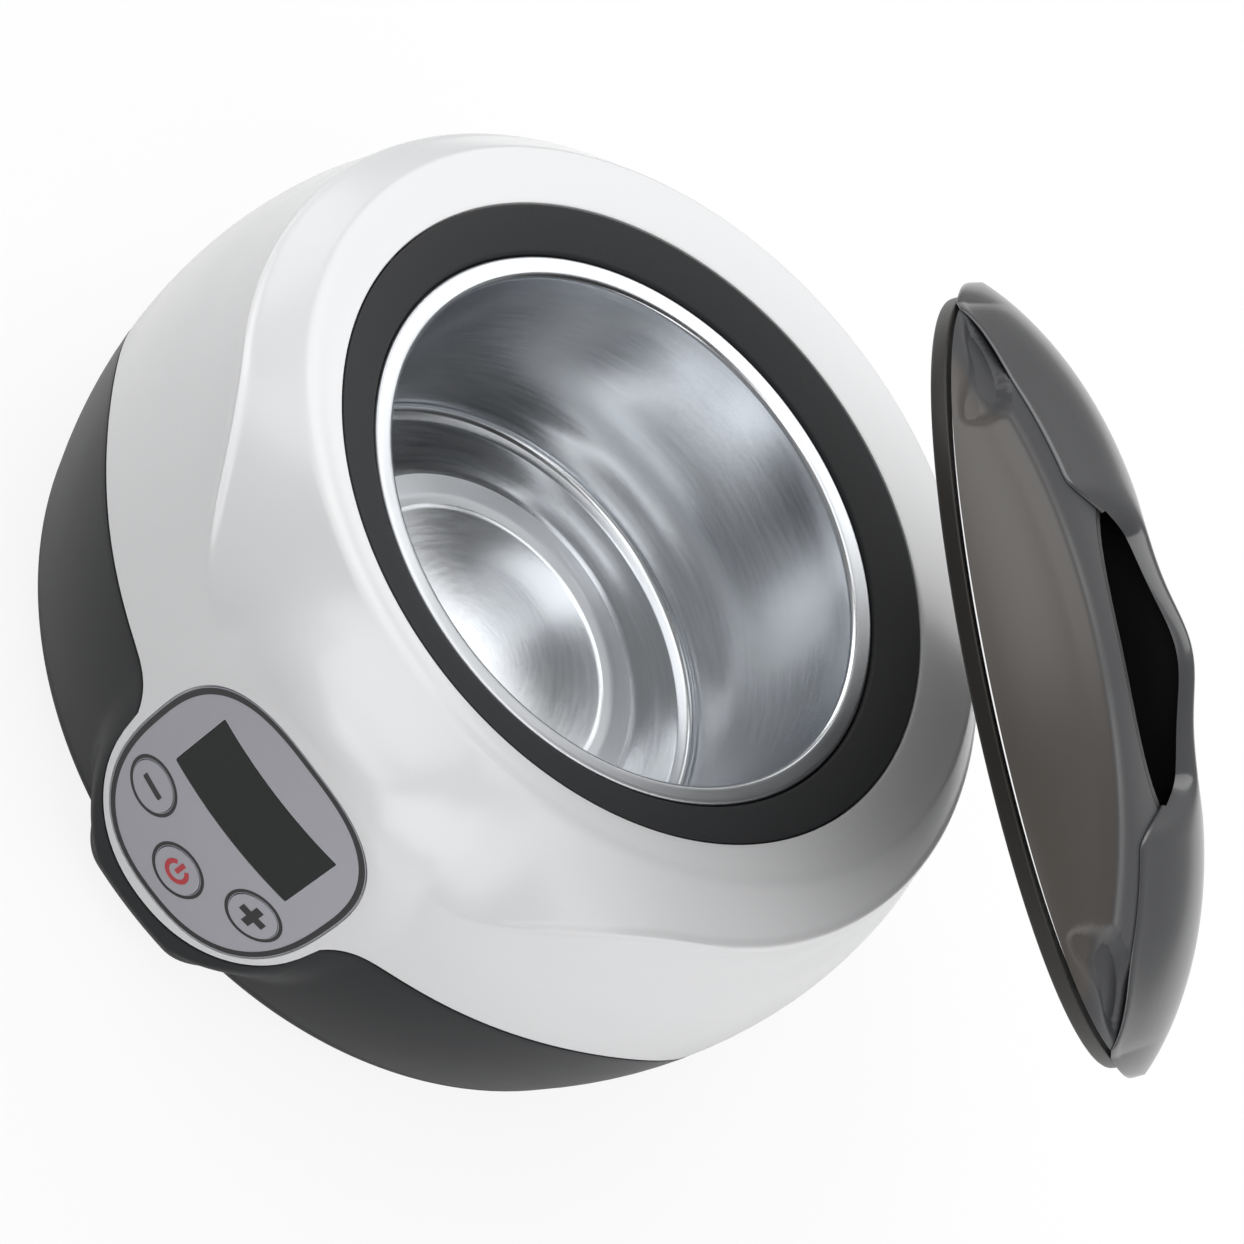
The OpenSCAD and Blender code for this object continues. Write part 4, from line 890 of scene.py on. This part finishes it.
lid = {
    "axis": (-0.444, 0.700, 0.559), "axisPoint": (95.6, 47.9, 15.7), "swing": 41.7,
    "turn": -42, "seatGap": 0.25,
    "rimR": 76, "rimH": 3, "rimIn": 4, "rimInLow": 3.4, "rimDraft": 0.1,
    "domeH": 20, "domePower": 2.4, "domeRoot": 0.8, "wall": 2,
    "domeR": 75.4, "domeInnerR": 71.5, "domeColumns": 400, "domeRows": 84,
    "handleTop": 30.6, "handleHalfL": 78.5, "nubH": 3.3, "nubL": 12, "fall": 22.6, "fallPower": 2.9,
    "fallRoot": 0.9, "fallPast": 0.3,
    "recessL": 33, "recessW": 31, "recessPower": 2.6, "recessGap": 0.15, "panWall": 1.6, "cutZ": (-5, 60),
    "bandHalfW": 33, "bandTaper": 6.3, "taperAt": 52, "taperSpan": 20, "bandEnd": 0.6, "bandTip": 0.6,
    "bridgeHalfW": 8, "flareX": 23, "flareL": 12, "bridgeT": 2.6,
    "bandLift": 0.1, "bandEdge": 0.5, "bandPower": 1.8, "bandRoot": 1.2, "bandRound": 0.45, "bandRoundW": 0.06,
    "bandAlong": 150, "bandAcross": 36,
    "roomPast": 2, "roomSteps": 24, "roomDrop": 3.5, "roomHalfW": 60,
    "ridgeRise": 1.0, "ridgeY": 46, "ridgeW": 3.4, "ridgeOutR": 73, "ridgeFade": 10,
    "scoopX": 73, "scoopY": 53.5, "scoopR": 27.3, "scoopDeep": 2.4, "scoopEdge": 1.2, "scoopSpan": 11,
    "scoopLeast": 0.45, "scoopLead": 0.2, "scoopOutR": 75.2, "scoopFade": 5,
    # the strip's grey tone is a painted reflection of the lid's flatter top
    "stripEdge": 46, "stripFade": 2.5, "paintedReflectionTone": (0.040, 0.041, 0.044, 1),
}


def heldPlace():
    point = Vector(lid["axisPoint"])
    swing = Matrix.Rotation(math.radians(lid["swing"]), 4, Vector(lid["axis"]).normalized())
    seat = Matrix.Translation((0, 0, shell["topZ"] + lid["seatGap"]))
    seat = seat @ Matrix.Rotation(math.radians(lid["turn"]), 4, "Z")
    return Matrix.Translation(point) @ swing @ Matrix.Translation(-point) @ seat


held = heldPlace()


def domeHeight(r):
    if r >= lid["rimR"]:
        return lid["rimH"]
    return lid["rimH"] + lid["domeH"] * (1 - (r / lid["rimR"]) ** lid["domePower"]) ** lid["domeRoot"]


def domeSkin(x, y):
    # the plain dome, with a soft ridge in front and behind and four scooped lenses beside the band
    r = math.hypot(x, y)
    ridge = math.exp(-((abs(y) - lid["ridgeY"]) / lid["ridgeW"]) ** 2)
    z = domeHeight(r) + lid["ridgeRise"] * smoothStep((lid["ridgeOutR"] - r) / lid["ridgeFade"]) * ridge
    inside = lid["scoopR"] - math.hypot(abs(x) - lid["scoopX"], abs(y) - lid["scoopY"])
    if inside > 0:
        swell = math.sin(math.pi * min(min(inside / lid["scoopSpan"], 1) + lid["scoopLead"], 1))
        scoop = min(1, inside / lid["scoopEdge"]) * mixed(lid["scoopLeast"], 1, swell)
        z -= lid["scoopDeep"] * scoop * smoothStep((lid["scoopOutR"] - r) / lid["scoopFade"])
    return max(z, lid["rimH"] + lid["bandLift"])


def crownHeight(x):
    # the handle's top line along the lid, with the grip's rise in the middle
    t = min(abs(x) / (lid["handleHalfL"] + lid["fallPast"]), 1)
    arch = lid["fall"] * (1 - t ** lid["fallPower"]) ** lid["fallRoot"]
    return lid["handleTop"] - lid["nubH"] - lid["fall"] + arch + lid["nubH"] * math.exp(-(x / lid["nubL"]) ** 2)


def bandWidth(x):
    # half the band's width: narrow over the recess, broad beside it and round at the ends
    flare = smoothStep((abs(x) - lid["flareX"]) / lid["flareL"])
    broad = mixed(lid["bridgeHalfW"], lid["bandHalfW"], flare)
    broad -= lid["bandTaper"] * smoothStep((abs(x) - lid["taperAt"]) / lid["taperSpan"])
    return max(lid["bandEnd"], min(broad, math.sqrt(max(lid["handleHalfL"] ** 2 - x * x, 0) * lid["bandTip"])))


def bandUnder(x, y):
    return domeHeight(math.hypot(x, y)) + lid["bandLift"]


def bandTop(x, v):
    w = bandWidth(x)
    edge = bandUnder(x, w) + lid["bandEdge"]
    shape = (1 - abs(v) ** lid["bandPower"]) ** lid["bandRoot"]
    past = max(0, (abs(v) - 1 + lid["bandRoundW"]) / lid["bandRoundW"])
    rounded = lid["bandRound"] * (1 - math.sqrt(max(0, 1 - past ** 2)))
    crown = mixed(edge, max(crownHeight(x), edge), shape)
    return max(crown, bandUnder(x, v * w) + lid["bandEdge"]) - rounded


def recessOutline(grow, count=120):
    return [((lid["recessL"] + grow) * signPower(math.cos(2 * math.pi * i / count), lid["recessPower"]),
             (lid["recessW"] + grow) * signPower(math.sin(2 * math.pi * i / count), lid["recessPower"]))
            for i in range(count)]


def holdPiece(piece):
    # moves finished lid geometry from its own level frame to where the lid is held
    lift = Matrix.Scale(1 / mm, 4)
    piece.data.transform(Matrix.Scale(mm, 4) @ held @ lift)


def smokeWithPaintedReflection():
    # smoky brown in front and behind, turning dark grey in the strip along the recess; that grey is a painted
    # reflection of the flatter top, not the lid's own colour
    material = finish["smoke"].copy()
    tree = material.node_tree
    across = held.to_3x3() @ Vector((0, 1, 0))
    middle = (held @ Vector((0, 0, 0)) * mm).dot(across)
    place = addNode(tree, "ShaderNodeTexCoord").outputs["Object"]
    along = addNode(tree, "ShaderNodeVectorMath", {0: place, 1: across}, operation="DOT_PRODUCT")
    reflectionShare = addNode(tree, "ShaderNodeMapRange", {
        "Value": maths(tree, "ABSOLUTE", maths(tree, "SUBTRACT", along.outputs["Value"], middle)),
        "From Min": (lid["stripEdge"] - lid["stripFade"]) * mm,
        "From Max": (lid["stripEdge"] + lid["stripFade"]) * mm,
    }, interpolation_type="SMOOTHSTEP").outputs[0]
    shader = tree.nodes["Principled BSDF"]
    brown = shader.inputs["Base Color"].links[0].from_socket
    # mixes the painted reflection grey into the strip along the recess
    setInputs(tree, shader, {"Base Color": mixColour(tree, reflectionShare, lid["paintedReflectionTone"], brown)})
    return material


def makeDome():
    # two layers of rings, joined in the middle and at the edge, with the recess cut through
    columns, count = lid["domeColumns"], lid["domeRows"]
    shares = [i / count for i in range(1, count + 1)]
    radii = [lid["domeR"] * mixed(t, math.sin(math.radians(90 * t)), 0.5) for t in shares]
    turns = [2 * math.pi * j / columns for j in range(columns)]
    top = [(0.0, 0.0, domeSkin(0, 0))]
    under = [(0.0, 0.0, domeHeight(0) - lid["wall"])]
    for r in radii:
        top += [(r * math.cos(t), r * math.sin(t), domeSkin(r * math.cos(t), r * math.sin(t))) for t in turns]
        q = r * lid["domeInnerR"] / lid["domeR"]
        low = max(domeHeight(q) - lid["wall"], lid["rimH"] + 0.06)
        under += [(q * math.cos(t), q * math.sin(t), low) for t in turns]
    n = len(top)
    edge = 1 + (count - 1) * columns
    faces = []
    for j in range(columns):
        k = (j + 1) % columns
        faces += [(0, 1 + j, 1 + k), (n, n + 1 + k, n + 1 + j)]
        faces.append((edge + j, n + edge + j, n + edge + k, edge + k))
        for i in range(count - 1):
            a, b = 1 + i * columns + j, 1 + i * columns + k
            faces += [(a, a + columns, b + columns, b), (n + a, n + b, n + b + columns, n + a + columns)]
    dome = rawMesh("lidDomeSkin", top + under, faces)
    cutPiece(dome, [prism(recessOutline(lid["recessGap"]), *lid["cutZ"])])
    holdPiece(dome)
    dressPiece(dome, smokeWithPaintedReflection(), "lid", 30)
    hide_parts("lid_dome")


def fingerRoom():
    # the space under the bridge, within the recess
    steps, reach = lid["roomSteps"], lid["recessL"] + lid["roomPast"]
    xs = [reach * i / steps for i in range(-steps, steps + 1)]
    roof = [(x, crownHeight(x) - lid["bridgeT"] - lid["roomDrop"] * (abs(x) / lid["recessL"]) ** 4) for x in xs]
    outline, halfW = [(xs[0], 0)] + roof + [(xs[-1], 0)], lid["roomHalfW"]
    room = sweptTool("roomTool", *[[(x, y, z) for x, z in outline] for y in (-halfW, halfW)])
    cutPiece(room, [prism(recessOutline(-lid["panWall"]), *lid["cutZ"])], "INTERSECT")
    return room


def makeBand():
    along, across = lid["bandAlong"], lid["bandAcross"]
    xs = [lid["handleHalfL"] * mixed(i / along, math.sin(math.pi / 2 * i / along), 0.75)
          for i in range(-along, along + 1)]
    vs = [math.sin(math.pi / 2 * j / across) for j in range(-across, across + 1)]
    m = len(vs)
    top = [(x, v * bandWidth(x), bandTop(x, v)) for x in xs for v in vs]
    under = [(x, v * bandWidth(x), bandUnder(x, v * bandWidth(x))) for x in xs for v in vs]
    k = len(top)
    faces = []
    for i in range(len(xs) - 1):
        for j in range(m - 1):
            p = i * m + j
            faces.append((p, p + m, p + m + 1, p + 1))
            faces.append((k + p, k + p + 1, k + p + m + 1, k + p + m))
        p, q = i * m, i * m + m - 1
        faces += [(p, k + p, k + p + m, p + m), (q, q + m, k + q + m, k + q)]
    for j in range(m - 1):
        q = (len(xs) - 1) * m + j
        faces += [(j, j + 1, k + j + 1, k + j), (q, k + q, k + q + 1, q + 1)]
    band = rawMesh("lidBandSkin", top + under, faces)
    cutPiece(band, [fingerRoom()])
    holdPiece(band)
    dressPiece(band, finish["band"], "lid", 30)
    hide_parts("lid_handle")


def makeRim():
    r, h = lid["rimR"], lid["rimH"]
    profile = [(r - lid["rimInLow"], 0), (r - lid["rimDraft"], 0), (r, h), (r - lid["rimIn"], h)]
    outline = roundCorners(profile, [0.2, 0.6, 0.35, 0], 5)
    rim = turnedPiece("lidRimSkin", outline + outline[:1], finish["rim"])
    holdPiece(rim)
    dressPiece(rim, finish["rim"], "lid", 45)
    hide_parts("lid_rim")


makeDome()
makeBand()
makeRim()
print("lid ready")

# screws under the base

screws = {
    "flat": {"outline": [(0, 0), (2.0, 0), (2.18, 0.12), (2.18, 0.25), (1.1, 1.15), (0, 1.15)],
             "count": 3, "radius": 41.5, "firstTurn": -30, "height": 1.62},
    "pan": {"outline": [(0, 0), (1.5, 0), (2.35, 0.25), (2.75, 0.9), (2.75, 1.6), (0, 1.6)],
            "count": 4, "radius": 80, "firstTurn": 45, "height": 18.2},
    "crossL": 2.6, "crossW": 0.6, "crossDepth": 0.6, "columns": 28, "mostTurn": 3.1, "seed": 7,
}


def screwHead(kind):
    # head with a cross recess, pointing down
    head = turnedPiece(kind + "ScrewHead", screws[kind]["outline"], finish["steel"], screws["columns"])
    l, w, d = screws["crossL"] / 2, screws["crossW"] / 2, screws["crossDepth"]
    cutPiece(head, [boxTool((-l, -w, -1), (l, w, d)), boxTool((-w, -l, -1), (w, l, d))])
    return head


def screwCircleTree():
    # puts a head on each point of a circle
    sockets = (("count", "Int"), ("circleRadius", "Float"), ("firstTurn", "Float"), ("height", "Float"),
               ("head", "Object"), ("finish", "Material"))
    tree, start, end = newTree("screwCircle", sockets)
    given = start.outputs
    inputs = {"Vertices": given["count"], "Radius": given["circleRadius"]}
    circle = addNode(tree, "GeometryNodeMeshCircle", inputs)
    turn = addNode(tree, "ShaderNodeCombineXYZ", {"Z": given["firstTurn"]})
    lift = addNode(tree, "ShaderNodeCombineXYZ", {"Z": given["height"]})
    points = addNode(tree, "GeometryNodeTransform", {
        "Geometry": circle.outputs["Mesh"], "Rotation": turn.outputs[0], "Translation": lift.outputs[0],
    })
    spin = addNode(tree, "FunctionNodeRandomValue", {
        "Min": (0, 0, 0), "Max": (0, 0, screws["mostTurn"]), "Seed": screws["seed"],
    }, data_type="FLOAT_VECTOR")
    source = addNode(tree, "GeometryNodeObjectInfo", {"Object": given["head"]})
    heads = addNode(tree, "GeometryNodeInstanceOnPoints", {
        "Points": points.outputs["Geometry"], "Instance": source.outputs["Geometry"],
        "Rotation": spin.outputs[0],
    })
    return closeTree(tree, start, end, heads.outputs["Instances"])


def screwCircle(name, tree, kind, nodeName):
    head, here = screwHead(kind), screws[kind]
    carrier = addThing(name, bpy.data.meshes.new(name))
    runTree(carrier, tree, {
        "count": here["count"], "circleRadius": here["radius"] * mm, "height": here["height"] * mm,
        "firstTurn": math.radians(here["firstTurn"]), "head": head, "finish": finish["steel"],
    })
    bpy.data.objects.remove(head)
    dressPiece(carrier, finish["steel"], "housing", 35)
    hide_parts(nodeName)


circleTree = screwCircleTree()
screwCircle("plateScrewHeads", circleTree, "flat", "plate_screws")
screwCircle("caseScrewHeads", circleTree, "pan", "case_screws")
print("screws ready")
